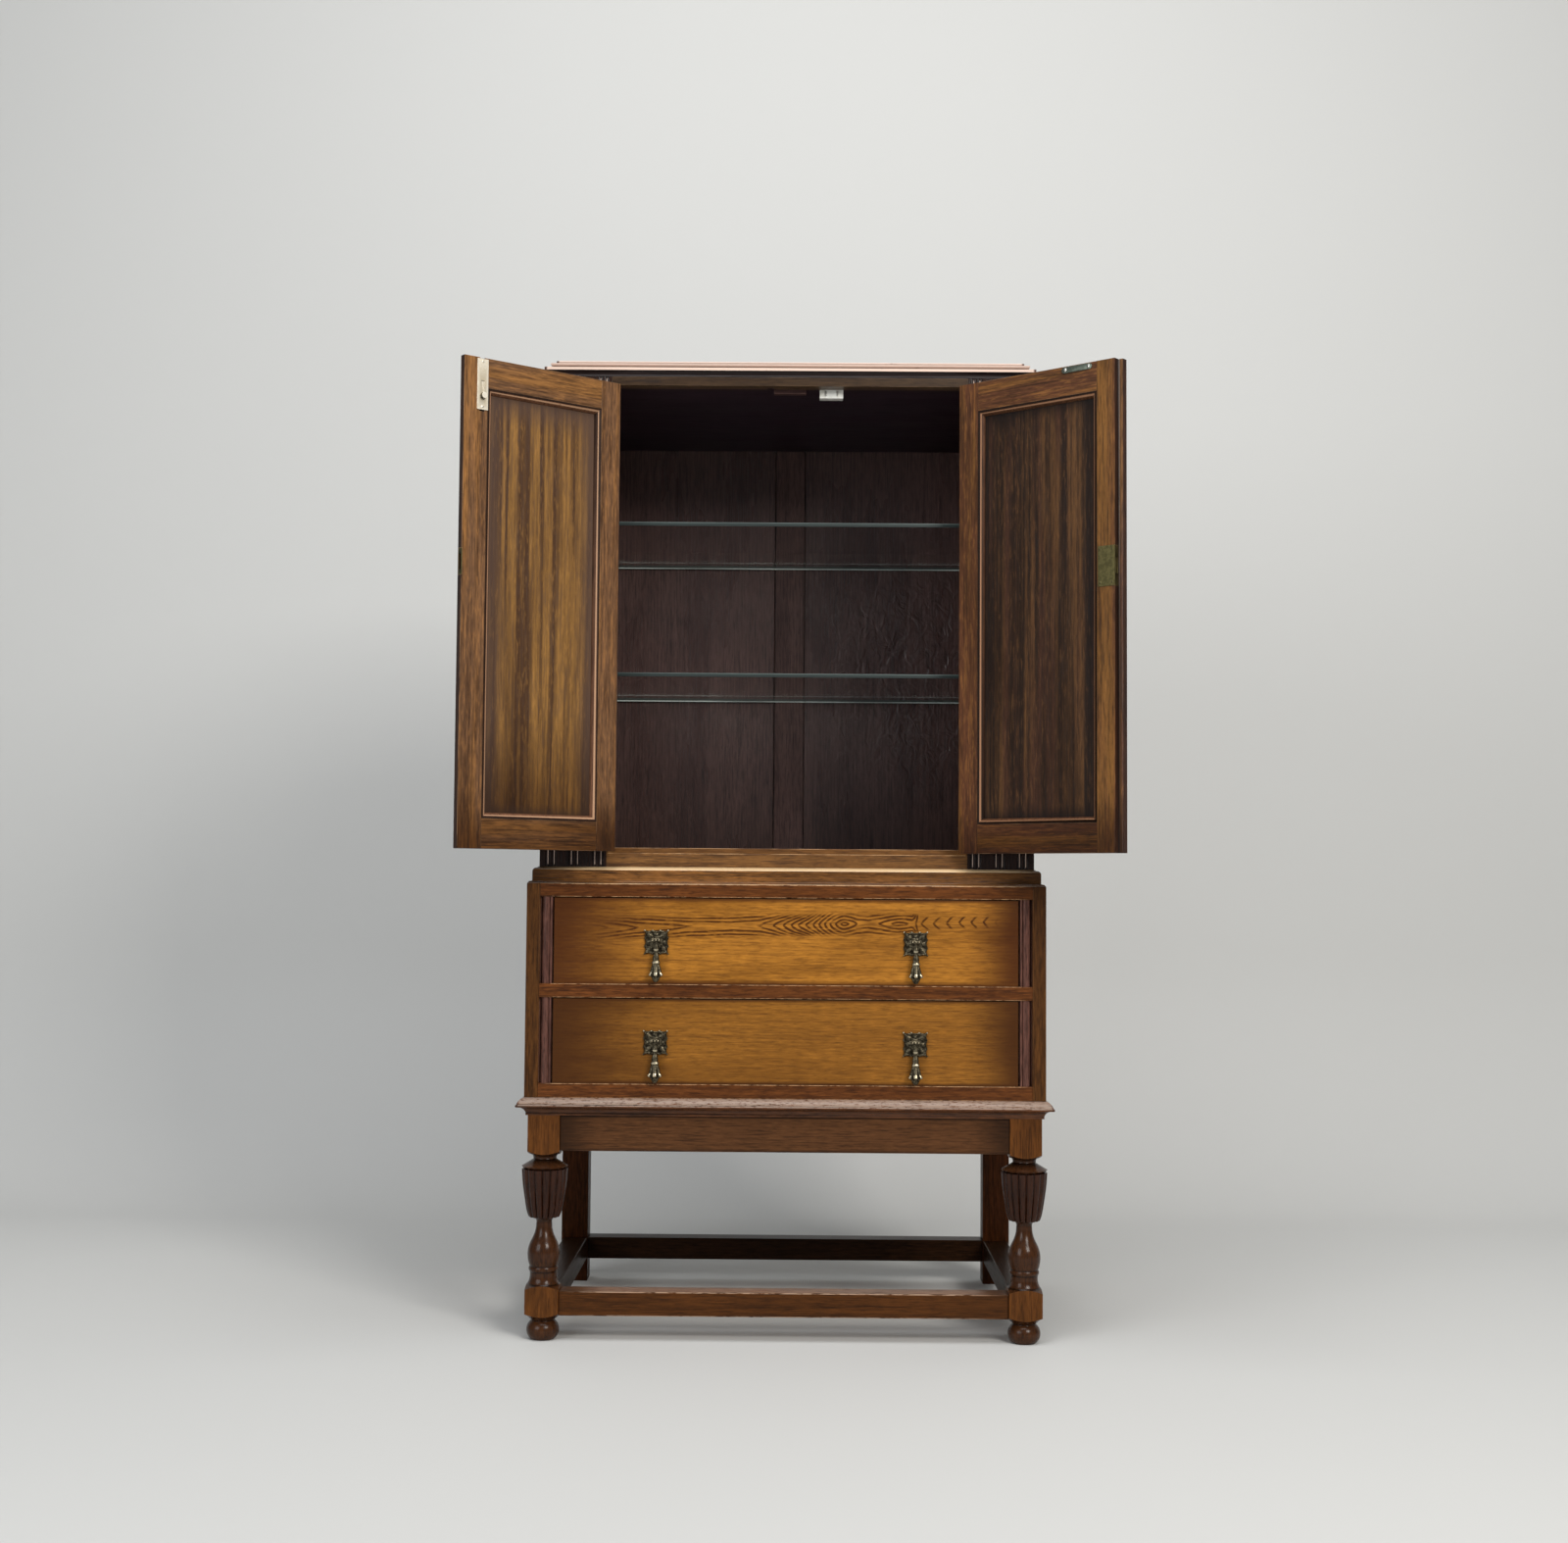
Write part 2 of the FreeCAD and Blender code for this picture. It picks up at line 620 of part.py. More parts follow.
def front_leg_shape():
    """Bun foot, square block, ring, baluster, reeded cup and square block, on one axis."""
    foot_top = length("foot_height")
    foot_half = length("leg_foot_block") / 2
    inset = length("leg_shoulder_inset")
    block_top = foot_top + length("leg_foot_block_height")
    pad = length("foot_pad_radius")
    bun = length("foot_radius")
    neck = length("foot_neck_radius")
    neck_level = foot_top * FOOT_NECK_SHARE
    foot = turned([(pad, 0.0), ((bun, neck_level / 2), (neck, neck_level)),
                   (foot_half - inset, foot_top)])
    foot_block = leg_block_shape(2 * foot_half, foot_top, block_top, True, True)
    ring_low = length("ring_level")
    ring_high = ring_low + length("ring_height")
    taper = length("taper_radius")
    ring = length("ring_radius")
    low = length("baluster_bottom")
    high = length("baluster_neck_level")
    slim = length("baluster_neck_radius")
    swell = length("baluster_radius") - slim
    cup_low = length("cup_bottom")
    core = length("cup_core_radius")
    lower = turned([
        (foot_half - inset, block_top),
        ((taper + (foot_half - taper) * TAPER_BEND_SHARE,
          block_top + (ring_low - block_top) * TAPER_BEND_SHARE), (taper, ring_low)),
        ((ring, (ring_low + ring_high) / 2), (taper, ring_high)),
        (slim + swell * BALUSTER_RADIUS_SHARES[0], low),
    ])
    levels = [low + (high - low) * share for share in BALUSTER_LEVEL_SHARES]
    radii = [slim + swell * share for share in BALUSTER_RADIUS_SHARES]
    waist = Part.Arc(
        Vector(slim, 0, high),
        Vector(slim + (core - slim) * NECK_BEND_RADIUS_SHARE, 0,
               high + (cup_low - high) * NECK_BEND_LEVEL_SHARE),
        Vector(core, 0, cup_low)).toShape()
    baluster = revolved_edges([blend_curve(levels, radii), waist])
    cup_top = cup_low + length("cup_height")
    rim = length("cup_rim_radius")
    base = length("cup_bottom_radius")
    wires = []
    for level_share, radius_share in zip(CUP_LEVEL_SHARES, CUP_RADIUS_SHARES):
        level = cup_low + (cup_top - cup_low) * level_share
        wires.append(lobed_wire(base + (rim - base) * radius_share, level))
    cup = Part.makeLoft(wires, True, False)
    rim_level = cup_top + length("cup_rim_height")
    shoulder_level = length("leg_neck_level")
    slender = length("leg_neck_radius")
    block_bottom = length("leg_height") - length("leg_block_height")
    block_half = length("leg_block") / 2
    cove = block_half - inset - slender
    bend = cove * (1 - math.sqrt(0.5))
    upper = turned([
        (rim - length("reed_depth"), cup_top),
        (rim, rim_level),
        (slender, shoulder_level),
        (slender, block_bottom - cove),
        ((slender + bend, block_bottom - bend), (slender + cove, block_bottom)),
    ])
    block = leg_block_shape(2 * block_half, block_bottom, length("leg_height"), True, False)
    return foot.multiFuse([foot_block, lower, baluster, cup, upper, block]).removeSplitter()


def make_stand():
    """Legs, aprons, stretchers and the moulding that crowns the stand."""
    leg = front_leg_shape()
    for side, sign in (("left", -1), ("right", 1)):
        at = Vector(sign * length("leg_axis"), length("leg_axis_depth"), 0)
        keep(formed(f"front_leg_{side}", leg, at))
    rear_legs = []
    side_aprons = []
    side_stretchers = []
    for side in ("left", "right"):
        across = span(side, "rear_leg_inner", "stand_half")
        rear_legs.append(board(f"rear_leg_{side}", across, ("rear_leg_front", "back_plane"),
                               ("0", "leg_height")))
        across = span(side, "stand_half - apron_setback - apron_thickness", "stand_half - apron_setback")
        side_aprons.append(board(f"apron_{side}", across, ("leg_front + leg_block", "rear_leg_front"),
                                 ("leg_height - apron_height", "leg_height")))
        across = span(side, "leg_axis - stretcher_depth / 2", "leg_axis + stretcher_depth / 2")
        along = ("leg_axis_depth + leg_foot_block / 2", "rear_leg_front")
        side_stretchers.append(board(f"stretcher_{side}", across, along,
                                     ("stretcher_level", "stretcher_level + stretcher_height")))
    keep(together("rear_legs", rear_legs))
    front_half = "leg_axis - leg_block / 2"
    keep(board("front_apron", (f"-({front_half})", front_half),
               ("leg_front + apron_setback", "leg_front + apron_setback + apron_thickness"),
               ("leg_height - apron_height", "leg_height")))
    rear_apron = board("apron_rear", ("-rear_leg_inner", "rear_leg_inner"),
                       ("back_plane - apron_setback - apron_thickness", "back_plane - apron_setback"),
                       ("leg_height - apron_height", "leg_height"))
    keep(together("side_and_rear_aprons", side_aprons + [rear_apron]))
    half = "leg_axis - leg_foot_block / 2"
    keep(board("front_stretcher", (f"-({half})", half),
               ("leg_axis_depth - stretcher_depth / 2", "leg_axis_depth + stretcher_depth / 2"),
               ("stretcher_level", "stretcher_level + stretcher_height")))
    middle = "back_plane - rear_leg_square / 2"
    rear_stretcher = board("stretcher_rear", ("-rear_leg_inner", "rear_leg_inner"),
                           (f"{middle} - stretcher_depth / 2", f"{middle} + stretcher_depth / 2"),
                           ("stretcher_level", "stretcher_level + stretcher_height"))
    keep(together("side_and_rear_stretchers", side_stretchers + [rear_stretcher]))
    keep(formed("base_moulding", base_moulding_shape()))


def base_moulding_shape():
    """A small fillet, a cove under a rounded nose, and a swelling slope up to the chest."""
    high = length("base_moulding_height")
    reach = length("base_moulding_reach")
    foot = -length("base_moulding_foot")
    seat = length("moulding_seat")
    fillet = high * BASE_FILLET_SHARE
    cove = high * BASE_COVE_SHARE
    nose = high * BASE_NOSE_SHARE
    under = reach * BASE_COVE_REACH_SHARE
    cove_out, cove_up = BASE_COVE_BEND_SHARES
    slope_out, slope_up = BASE_SLOPE_BEND_SHARES
    points = [
        (-seat, 0.0),
        (foot, 0.0),
        (foot, fillet),
        ((foot + (under - foot) * cove_out, fillet + (cove - fillet) * cove_up), (under, cove)),
        ((reach, (cove + nose) / 2), (under, nose)),
        ((reach * slope_out, high * slope_up), (0.0, high)),
        (-seat, high),
    ]
    return three_sided_moulding(points, length("chest_half"), length("front_plane"),
                                length("back_plane"), seat, reach, length("leg_height"))


# Chest

def reeded_strip_shape(side, bottom, top):
    """A post behind the face, with a wide and a narrow reed standing on it."""
    inner = length("drawer_opening_half")
    outer = length("chest_stile_inner")
    back = length("chest_rail_back")
    face = length("front_plane") + length("strip_setback")
    proud = length("strip_proud")
    reed_outer = outer - length("strip_side_gap")
    reed_inner = reed_outer - length("strip_width")
    narrow = length("strip_narrow_reed")
    sign = -1 if side == "left" else 1
    valley = face - proud / 2
    shoulder = face - proud + narrow / 2
    wide_middle = (reed_inner + narrow + reed_outer) / 2
    narrow_middle = reed_inner + narrow / 2
    points = [
        (inner, back),
        (inner, face),
        (reed_inner, face),
        (reed_inner, shoulder),
        ((narrow_middle, face - proud), (reed_inner + narrow, shoulder)),
        (reed_inner + narrow, valley),
        ((wide_middle, face - proud), (reed_outer, valley)),
        (reed_outer, face),
        (outer, face),
        (outer, back),
    ]
    face_shape = outline_face(points, lambda across, along: Vector(sign * across, along, bottom))
    return face_shape.extrude(Vector(0, 0, top - bottom))


def make_chest():
    """Sides, stiles, rails, boards, runners and the mouldings of the two-drawer chest."""
    sides = []
    stiles = []
    strips = []
    runners = []
    levels = (("lower", "lower_opening_bottom", "lower_opening_top"),
              ("upper", "upper_opening_bottom", "upper_opening_top"))
    for side in ("left", "right"):
        sides.append(board(f"chest_side_{side}", span(side, "chest_inner_half", "chest_half"),
                           ("chest_rail_back", "back_plane"), ("chest_bottom", "chest_top")))
        stiles.append(board(f"chest_stile_{side}", span(side, "chest_stile_inner", "chest_half"),
                            ("front_plane", "chest_rail_back"), ("chest_bottom", "chest_top")))
        for name, bottom, top in levels:
            strips.append(formed(f"reeded_strip_{name}_{side}",
                                 reeded_strip_shape(side, length(bottom), length(top))))
            runners.append(board(f"runner_{name}_{side}",
                                 span(side, "chest_inner_half - runner_width", "chest_inner_half"),
                                 ("chest_rail_back", "chest_back_front"),
                                 (f"{bottom} - runner_height", bottom)))
            runners.append(board(f"guide_{name}_{side}",
                                 span(side, "drawer_half", "chest_inner_half"),
                                 ("chest_rail_back", "chest_back_front"),
                                 (bottom, f"{bottom} + guide_height")))
    keep(together("chest_sides", sides))
    keep(together("chest_stiles", stiles))
    keep(together("reeded_strips", strips))
    keep(together("drawer_runners", runners))
    rails = (("bottom", "chest_bottom", "lower_opening_bottom"),
             ("middle", "lower_opening_top", "upper_opening_bottom"),
             ("top", "upper_opening_top", "chest_top"))
    keep(together("chest_rails", [
        board(f"chest_rail_{name}", ("-chest_stile_inner", "chest_stile_inner"),
              ("front_plane", "chest_rail_back"), (bottom, top))
        for name, bottom, top in rails]))
    between = "chest_inner_half - runner_width"
    boards = [board(f"dust_board_{name}", (f"-({between})", between),
                    ("chest_rail_back", "chest_back_front"),
                    (f"{bottom} - runner_height", f"{bottom} - runner_height + chest_board_thickness"))
              for name, bottom, _ in levels]
    boards.append(board("chest_top_board", ("-chest_inner_half", "chest_inner_half"),
                        ("chest_rail_back", "chest_back_front"),
                        ("chest_top - chest_board_thickness", "chest_top")))
    keep(together("dust_boards", boards))
    keep(board("chest_back", ("-chest_inner_half", "chest_inner_half"),
               ("chest_back_front", "chest_back_front + back_board_thickness"),
               ("chest_bottom", "chest_top")))
    keep(formed("waist_moulding", waist_moulding_shape()))
    keep(board("waist_board", ("-cupboard_half + waist_seat", "cupboard_half - waist_seat"),
               ("cupboard_front + waist_seat", "back_plane"), ("chest_top", "waist_top")))


def waist_moulding_shape():
    """A stepped moulding that narrows the chest to the cupboard."""
    high = length("waist_height")
    reach = length("cupboard_setback")
    seat = length("waist_seat")
    points = [(-seat, 0.0)]
    points += [(reach * out, high * up) for out, up in WAIST_STEP_SHARES]
    middle, end, last = [(reach * out, high * up) for out, up in WAIST_OVOLO_SHARES]
    points += [(middle, end), last, (-seat, high)]
    return three_sided_moulding(points, length("cupboard_half"), length("cupboard_front"),
                                length("back_plane"), seat, reach, length("chest_top"))


# Drawers and their drop pulls

def make_drawer(name):
    """Front, sides, back and bottom of one drawer."""
    bottom = f"{name}_opening_bottom"
    top = f"{name}_opening_top"
    level = f"{name}_pull_level"
    front = board(f"{name}_front_blank", ("-drawer_half", "drawer_half"),
                  ("front_plane", "drawer_front_back"),
                  (f"{bottom} + drawer_drop_gap", f"{top} - drawer_gap"))
    holes = [rod(f"{name}_bolt_hole_{side}", "bolt_radius + bolt_hole_gap",
                 "front_plane - overrun", "drawer_front_back + overrun",
                 (f"{sign}pull_spacing / 2", level), "y")
             for side, sign in (("left", "-"), ("right", ""))]
    keep(cut(f"{name}_drawer_front", front, holes))
    rest = f"{bottom} + drawer_drop_gap"
    pieces = [board(f"{name}_drawer_side_{side}",
                    span(side, "drawer_side_inner", "drawer_side_outer"),
                    ("drawer_front_back", "drawer_end"), (rest, f"{rest} + drawer_side_height"))
              for side in ("left", "right")]
    pieces.append(board(f"{name}_drawer_back", ("-drawer_side_inner", "drawer_side_inner"),
                        ("drawer_end - drawer_side_thickness", "drawer_end"),
                        (f"{rest} + drawer_bottom_rise + drawer_bottom_thickness",
                         f"{rest} + drawer_side_height - drawer_back_drop")))
    pieces.append(board(f"{name}_drawer_bottom", ("-drawer_side_inner", "drawer_side_inner"),
                        ("drawer_front_back", "drawer_end"),
                        (f"{rest} + drawer_bottom_rise",
                         f"{rest} + drawer_bottom_rise + drawer_bottom_thickness")))
    keep(together(f"{name}_drawer_box", pieces))


def pull_plate_shape():
    """A cast square plate with scalloped edges, a boss, and two ears that hold the drop's pin."""
    half = length("plate_width") / 2
    dip = length("plate_scallop")
    thick = length("plate_thickness")
    step = 2 * half / SCALLOPS_PER_SIDE
    points = [(-half, -half)]
    for turn in range(4):
        angle = math.pi / 2 * turn
        for index in range(SCALLOPS_PER_SIDE):
            middle = (-half + step * (index + 0.5), -half + dip)
            end = (-half + step * (index + 1), -half)
            points.append(tuple(
                (x * math.cos(angle) - y * math.sin(angle), x * math.sin(angle) + y * math.cos(angle))
                for x, y in (middle, end)))
    last_middle, _ = points.pop()
    plate = outline_face(points, lambda x, z: Vector(x, 0, z), last_middle)
    plate = plate.extrude(Vector(0, -thick, 0))
    radius = length("boss_radius")
    rise = length("boss_height")
    ball = (radius * radius + rise * rise) / (2 * rise)
    boss = Part.makeSphere(ball, Vector(0, -thick - rise + ball, 0))
    front = Part.makeBox(4 * radius, rise, 4 * radius, Vector(-2 * radius, -thick - rise, -2 * radius))
    boss = boss.common(front)
    ears = []
    reach = length("pivot_reach")
    rise = length("pivot_rise")
    ear_half = length("ear_height") / 2
    inner = length("ear_inner")
    wide = length("ear_thickness")
    for sign in (-1, 1):
        start = inner if sign > 0 else -inner - wide
        slab = Part.makeBox(wide, reach, 2 * ear_half, Vector(start, -reach, rise - ear_half))
        nose = Part.makeCylinder(ear_half, wide, Vector(start, -reach, rise), Vector(1, 0, 0))
        ears.append(slab.fuse(nose))
    hole = Part.makeCylinder(length("pivot_pin_radius"), 4 * inner,
                             Vector(-2 * inner, -reach, rise), Vector(1, 0, 0))
    return plate.multiFuse([boss] + ears).cut(hole).removeSplitter()


def pull_drop_shape():
    """A cast tulip drop: an eye on the pin, a beaded neck, and a bell of petals that flares out."""
    reach = length("drop_length")
    half = reach * DROP_HALF_WIDTH_SHARE
    levels = [-reach * level for level in DROP_LEVEL_SHARES]
    radii = [half * width for width in DROP_WIDTH_SHARES]
    bell = revolved_edges([blend_curve(levels, radii)])
    flatten = Matrix()
    flatten.scale(1.0, length("drop_depth_share"), 1.0)
    bell = bell.transformGeometry(flatten)
    eye = Part.makeCylinder(length("eye_radius"), length("eye_width"),
                            Vector(-length("eye_width") / 2, 0, 0), Vector(1, 0, 0))
    bore = Part.makeCylinder(length("pivot_pin_radius") + length("running_gap"), reach,
                             Vector(-reach / 2, 0, 0), Vector(1, 0, 0))
    return bell.fuse(eye).cut(bore).removeSplitter()


def make_pulls(name):
    """Two plates with their pins, bolts and nuts, and two drops, for one drawer."""
    plate = pull_plate_shape()
    drop = pull_drop_shape()
    level = f"{name}_pull_level"
    fixed = []
    for side, sign, factor in (("left", "-", -1), ("right", "", 1)):
        across = f"{sign}pull_spacing / 2"
        at = Vector(factor * length("pull_spacing") / 2, length("front_plane"), length(level))
        fixed.append(formed(f"{name}_plate_{side}", plate, at))
        pin_half = "ear_inner + ear_thickness"
        fixed.append(rod(f"{name}_pin_{side}", "pivot_pin_radius",
                         f"{across} - {pin_half.replace(' + ', ' - ')}", f"{across} + {pin_half}",
                         ("front_plane - pivot_reach", f"{level} + pivot_rise"), "x"))
        fixed.append(rod(f"{name}_bolt_{side}", "bolt_radius", "front_plane",
                         "drawer_front_back + bolt_tail", (across, level), "y"))
        nut = rod(f"{name}_nut_blank_{side}", "nut_radius", "drawer_front_back",
                  "drawer_front_back + nut_height", (across, level), "y")
        bore = rod(f"{name}_nut_bore_{side}", "bolt_radius", "drawer_front_back - overrun",
                   "drawer_front_back + nut_height + overrun", (across, level), "y")
        fixed.append(cut(f"{name}_nut_{side}", nut, [bore]))
        pivot = at + Vector(0, -length("pivot_reach"), length("pivot_rise"))
        keep(formed(f"{name}_drop_{side}", drop, pivot))
    keep(together(f"{name}_pull_plates", fixed))


# Cupboard

def pilaster_shape(side):
    """A flat upright board with groups of narrow reeds cut in its face."""
    inner = length("opening_half")
    outer = length("cupboard_half")
    front = length("cupboard_front")
    back = length("pilaster_back")
    radius = length("groove_radius")
    pitch = length("reed_pitch")
    sign = -1 if side == "left" else 1
    points = [(inner, back), (inner, front)]
    first = outer - length("flute_group_edge") - (FLUTE_GROUPS - 1) * length("flute_group_pitch")
    for group in range(FLUTE_GROUPS):
        middle = first + group * length("flute_group_pitch")
        for groove in range(REEDS_PER_GROUP + 1):
            at = middle + (groove - REEDS_PER_GROUP / 2) * pitch
            points.append((at - radius, front))
            points.append(((at, front + radius), (at + radius, front)))
    points += [(outer, front), (outer, back)]
    low = length("waist_top")
    face = outline_face(points, lambda across, along: Vector(sign * across, along, low))
    return face.extrude(Vector(0, 0, length("cornice_bottom") - low))


def make_cupboard():
    """Floor, sides, pilasters, rails, back, ceiling, cornice, glass shelves and their pins."""
    keep(together("pilasters", [
        formed(f"pilaster_{side}", pilaster_shape(side)) for side in ("left", "right")]))
    keep(together("cupboard_sides", [
        board(f"cupboard_side_{side}", span(side, "cupboard_inner", "cupboard_half"),
              ("pilaster_back", "back_plane"), ("waist_top", "cornice_bottom"))
        for side in ("left", "right")]))
    keep(board("cupboard_floor", ("-cupboard_inner", "cupboard_inner"),
               ("pilaster_back", "back_panel_front"), ("floor_top - floor_thickness", "floor_top")))
    bottom_rail = board("bottom_rail", ("-opening_half", "opening_half"),
                        ("cupboard_front", "pilaster_back"), ("waist_top", "opening_bottom"))
    rail = board("top_rail_blank", ("-opening_half", "opening_half"),
                 ("cupboard_front", "pilaster_back"), ("opening_top", "cornice_bottom"))
    bolt_hole = board("top_bolt_hole",
                      ("-bolt_plate_place - bolt_bar_width / 2 - bolt_bar_gap",
                       "-bolt_plate_place + bolt_bar_width / 2 + bolt_bar_gap"),
                      ("bolt_bar_front - bolt_bar_gap", "pilaster_back + overrun"),
                      ("opening_top - overrun", "opening_top + bolt_travel"))
    keep(together("cupboard_rails", [bottom_rail, cut("top_rail", rail, [bolt_hole])]))
    keep(board("cupboard_ceiling", ("-cupboard_inner", "cupboard_inner"),
               ("pilaster_back", "back_panel_front"),
               ("ceiling_level", "ceiling_level + ceiling_thickness")))
    keep(together("door_stops", [
        board(f"door_stop_{side}",
              span(side, "opening_half - stop_overhang", "opening_half - stop_overhang + stop_width"),
              ("pilaster_back", "pilaster_back + stop_thickness"), ("floor_top", "ceiling_level"))
        for side in ("left", "right")]))
    keep(formed("cornice_moulding", cornice_shape()))
    lower = board("cap_lower", ("-cupboard_inner", "cupboard_inner"),
                  ("cupboard_front + cupboard_side_thickness", "back_plane"),
                  ("cabinet_top - cap_thickness", "cornice_top"))
    upper = board("cap_upper", ("-cupboard_half + cap_inset", "cupboard_half - cap_inset"),
                  ("cupboard_front + cap_inset", "back_plane"), ("cornice_top", "cabinet_top"))
    keep(fuse("top_board", [lower, upper]))
    keep(together("back_panels", [
        board(f"back_panel_{side}", span(side, "muntin_width / 2", "cupboard_inner"),
              ("back_panel_front", "back_panel_front + back_panel_thickness"),
              ("waist_top", "cornice_bottom"))
        for side in ("left", "right")]))
    keep(board("back_muntin", ("-muntin_width / 2", "muntin_width / 2"),
               ("muntin_front", "muntin_front + muntin_thickness"), ("floor_top", "ceiling_level")))
    keep(together("glass_shelves", [glass_shelf(name) for name in ("upper", "lower")]))
    pins = []
    for name in ("upper", "lower"):
        for side in ("left", "right"):
            for end, place in (("front", "glass_front_plane + shelf_pin_inset"),
                               ("back", "glass_back_plane - shelf_pin_inset")):
                low, high = span(side, "cupboard_inner - shelf_pin_length", "cupboard_inner")
                pins.append(rod(f"shelf_pin_{name}_{side}_{end}", "shelf_pin_radius", low, high,
                                (place, f"{name}_shelf_level - shelf_pin_radius"), "x"))
    keep(together("shelf_pins", pins))


def cornice_shape():
    """A cove and fillet over the rail, a groove, and a small bead under the top board."""
    reach = length("cornice_reach")
    seat = length("cupboard_side_thickness")
    cove = length("cornice_cove_height")
    fillet = length("cornice_fillet_level")
    groove = length("cornice_groove_level")
    high = length("cornice_height")
    sunk = -length("cornice_groove_inset")
    bead = -length("cornice_bead_inset")
    bend_in, bend_up = CORNICE_COVE_BEND_SHARES
    points = [
        (-seat, 0.0),
        (0.0, 0.0),
        ((-reach * bend_in, cove * bend_up), (reach, cove)),
        (reach, fillet),
        (sunk, fillet),
        (sunk, groove),
        (bead - (high - groove) / 2, groove),
        ((bead, (groove + high) / 2), (bead - (high - groove) / 2, high)),
        (-seat, high),
    ]
    return three_sided_moulding(points, length("cupboard_half"), length("cupboard_front"),
                                length("back_plane"), seat, reach, length("cornice_bottom"))


# Sketched bodies

def plane_of(body, role):
    """One of a body's own origin planes."""
    return next(item for item in body.Origin.OriginFeatures if item.Role == role)


def sketch_on(body, role, name):
    """A sketch on one of a body's origin planes."""
    sketch = body.newObject("Sketcher::SketchObject", name)
    sketch.AttachmentSupport = [(plane_of(body, role), "")]
    sketch.MapMode = "FlatFace"
    return sketch


def draw_rectangle(sketch, wide, high):
    """A rectangle about the sketch's origin, with its two sides bound to the sheet."""
    first = sketch.GeometryCount
    signs = ((-1, -1), (1, -1), (1, 1), (-1, 1))
    corners = [Vector(x, y, 0) * (SKETCH_START / 2) for x, y in signs]
    for index in range(4):
        sketch.addGeometry(Part.LineSegment(corners[index], corners[(index + 1) % 4]), False)
    for index in range(4):
        after = first + (index + 1) % 4
        sketch.addConstraint(Sketcher.Constraint("Coincident", first + index, 2, after, 1))
    for index, kind in enumerate(("Horizontal", "Vertical", "Horizontal", "Vertical")):
        sketch.addConstraint(Sketcher.Constraint(kind, first + index))
    sketch.addConstraint(Sketcher.Constraint("Symmetric", first, 1, first + 2, 1, -1, 1))
    for index, text in ((0, wide), (1, high)):
        number = sketch.addConstraint(Sketcher.Constraint("Distance", first + index, SKETCH_START))
        sketch.setExpression(f"Constraints[{number}]", bound(text))


def draw_circle(sketch, radius, across=None):
    """A circle on the sketch's horizontal axis, with its radius and place bound to the sheet."""
    index = sketch.GeometryCount
    start = Vector() if across is None else Vector(SKETCH_START, 0, 0)
    sketch.addGeometry(Part.Circle(start, Vector(0, 0, 1), SKETCH_START), False)
    number = sketch.addConstraint(Sketcher.Constraint("Radius", index, SKETCH_START))
    sketch.setExpression(f"Constraints[{number}]", bound(radius))
    if across is None:
        sketch.addConstraint(Sketcher.Constraint("Coincident", index, 3, -1, 1))
    else:
        sketch.addConstraint(Sketcher.Constraint("PointOnObject", index, 3, -1))
        number = sketch.addConstraint(Sketcher.Constraint("DistanceX", -1, 1, index, 3, SKETCH_START))
        sketch.setExpression(f"Constraints[{number}]", bound(across))


def place_body(body, across, along, up):
    """Bind a body's place to the sheet."""
    for axis, text in zip("xyz", (across, along, up)):
        body.setExpression(f"Placement.Base.{axis}", bound(text))
    return body


def plate_body(name, wide, high, thick):
    """An upright sketched plate in the X-Z plane, padded towards +Y."""
    body = doc.addObject("PartDesign::Body", name)
    sketch = sketch_on(body, "XZ_Plane", f"{name}_outline")
    draw_rectangle(sketch, wide, high)
    pad = body.newObject("PartDesign::Pad", f"{name}_pad")
    pad.Profile = sketch
    pad.Reversed = True
    pad.setExpression("Length", bound(thick))
    doc.recompute()
    return body


def pocket(body, sketch):
    """Cut a sketch right through its body, both ways, and see that it took something out."""
    before = body.Shape.Volume
    feature = body.newObject("PartDesign::Pocket", f"{sketch.Name}_pocket")
    feature.Profile = sketch
    feature.Type = "ThroughAll"
    feature.Midplane = True
    doc.recompute()
    if not body.Shape.Volume < before:
        raise RuntimeError(f"{feature.Name} cut nothing")


def glass_shelf(name):
    """A glass shelf with ground edges."""
    label = f"glass_shelf_{name}"
    body = doc.addObject("PartDesign::Body", label)
    sketch = sketch_on(body, "XY_Plane", f"{label}_outline")
    draw_rectangle(sketch, "2 * glass_half", "glass_back_plane - glass_front_plane")
    pad = body.newObject("PartDesign::Pad", f"{label}_pad")
    pad.Profile = sketch
    pad.setExpression("Length", bound("glass_thickness"))
    doc.recompute()
    edges = [f"Edge{index}" for index, edge in enumerate(pad.Shape.Edges, start=1)
             if edge.BoundBox.XLength > edge.Length / 2 and edge.CenterOfMass.y < 0]
    ground = body.newObject("PartDesign::Fillet", f"{label}_ground_edge")
    ground.Base = (pad, edges)
    ground.setExpression("Radius", bound("glass_edge_radius"))
    return place_body(body, "0", "(glass_front_plane + glass_back_plane) / 2", f"{name}_shelf_level")


# Doors

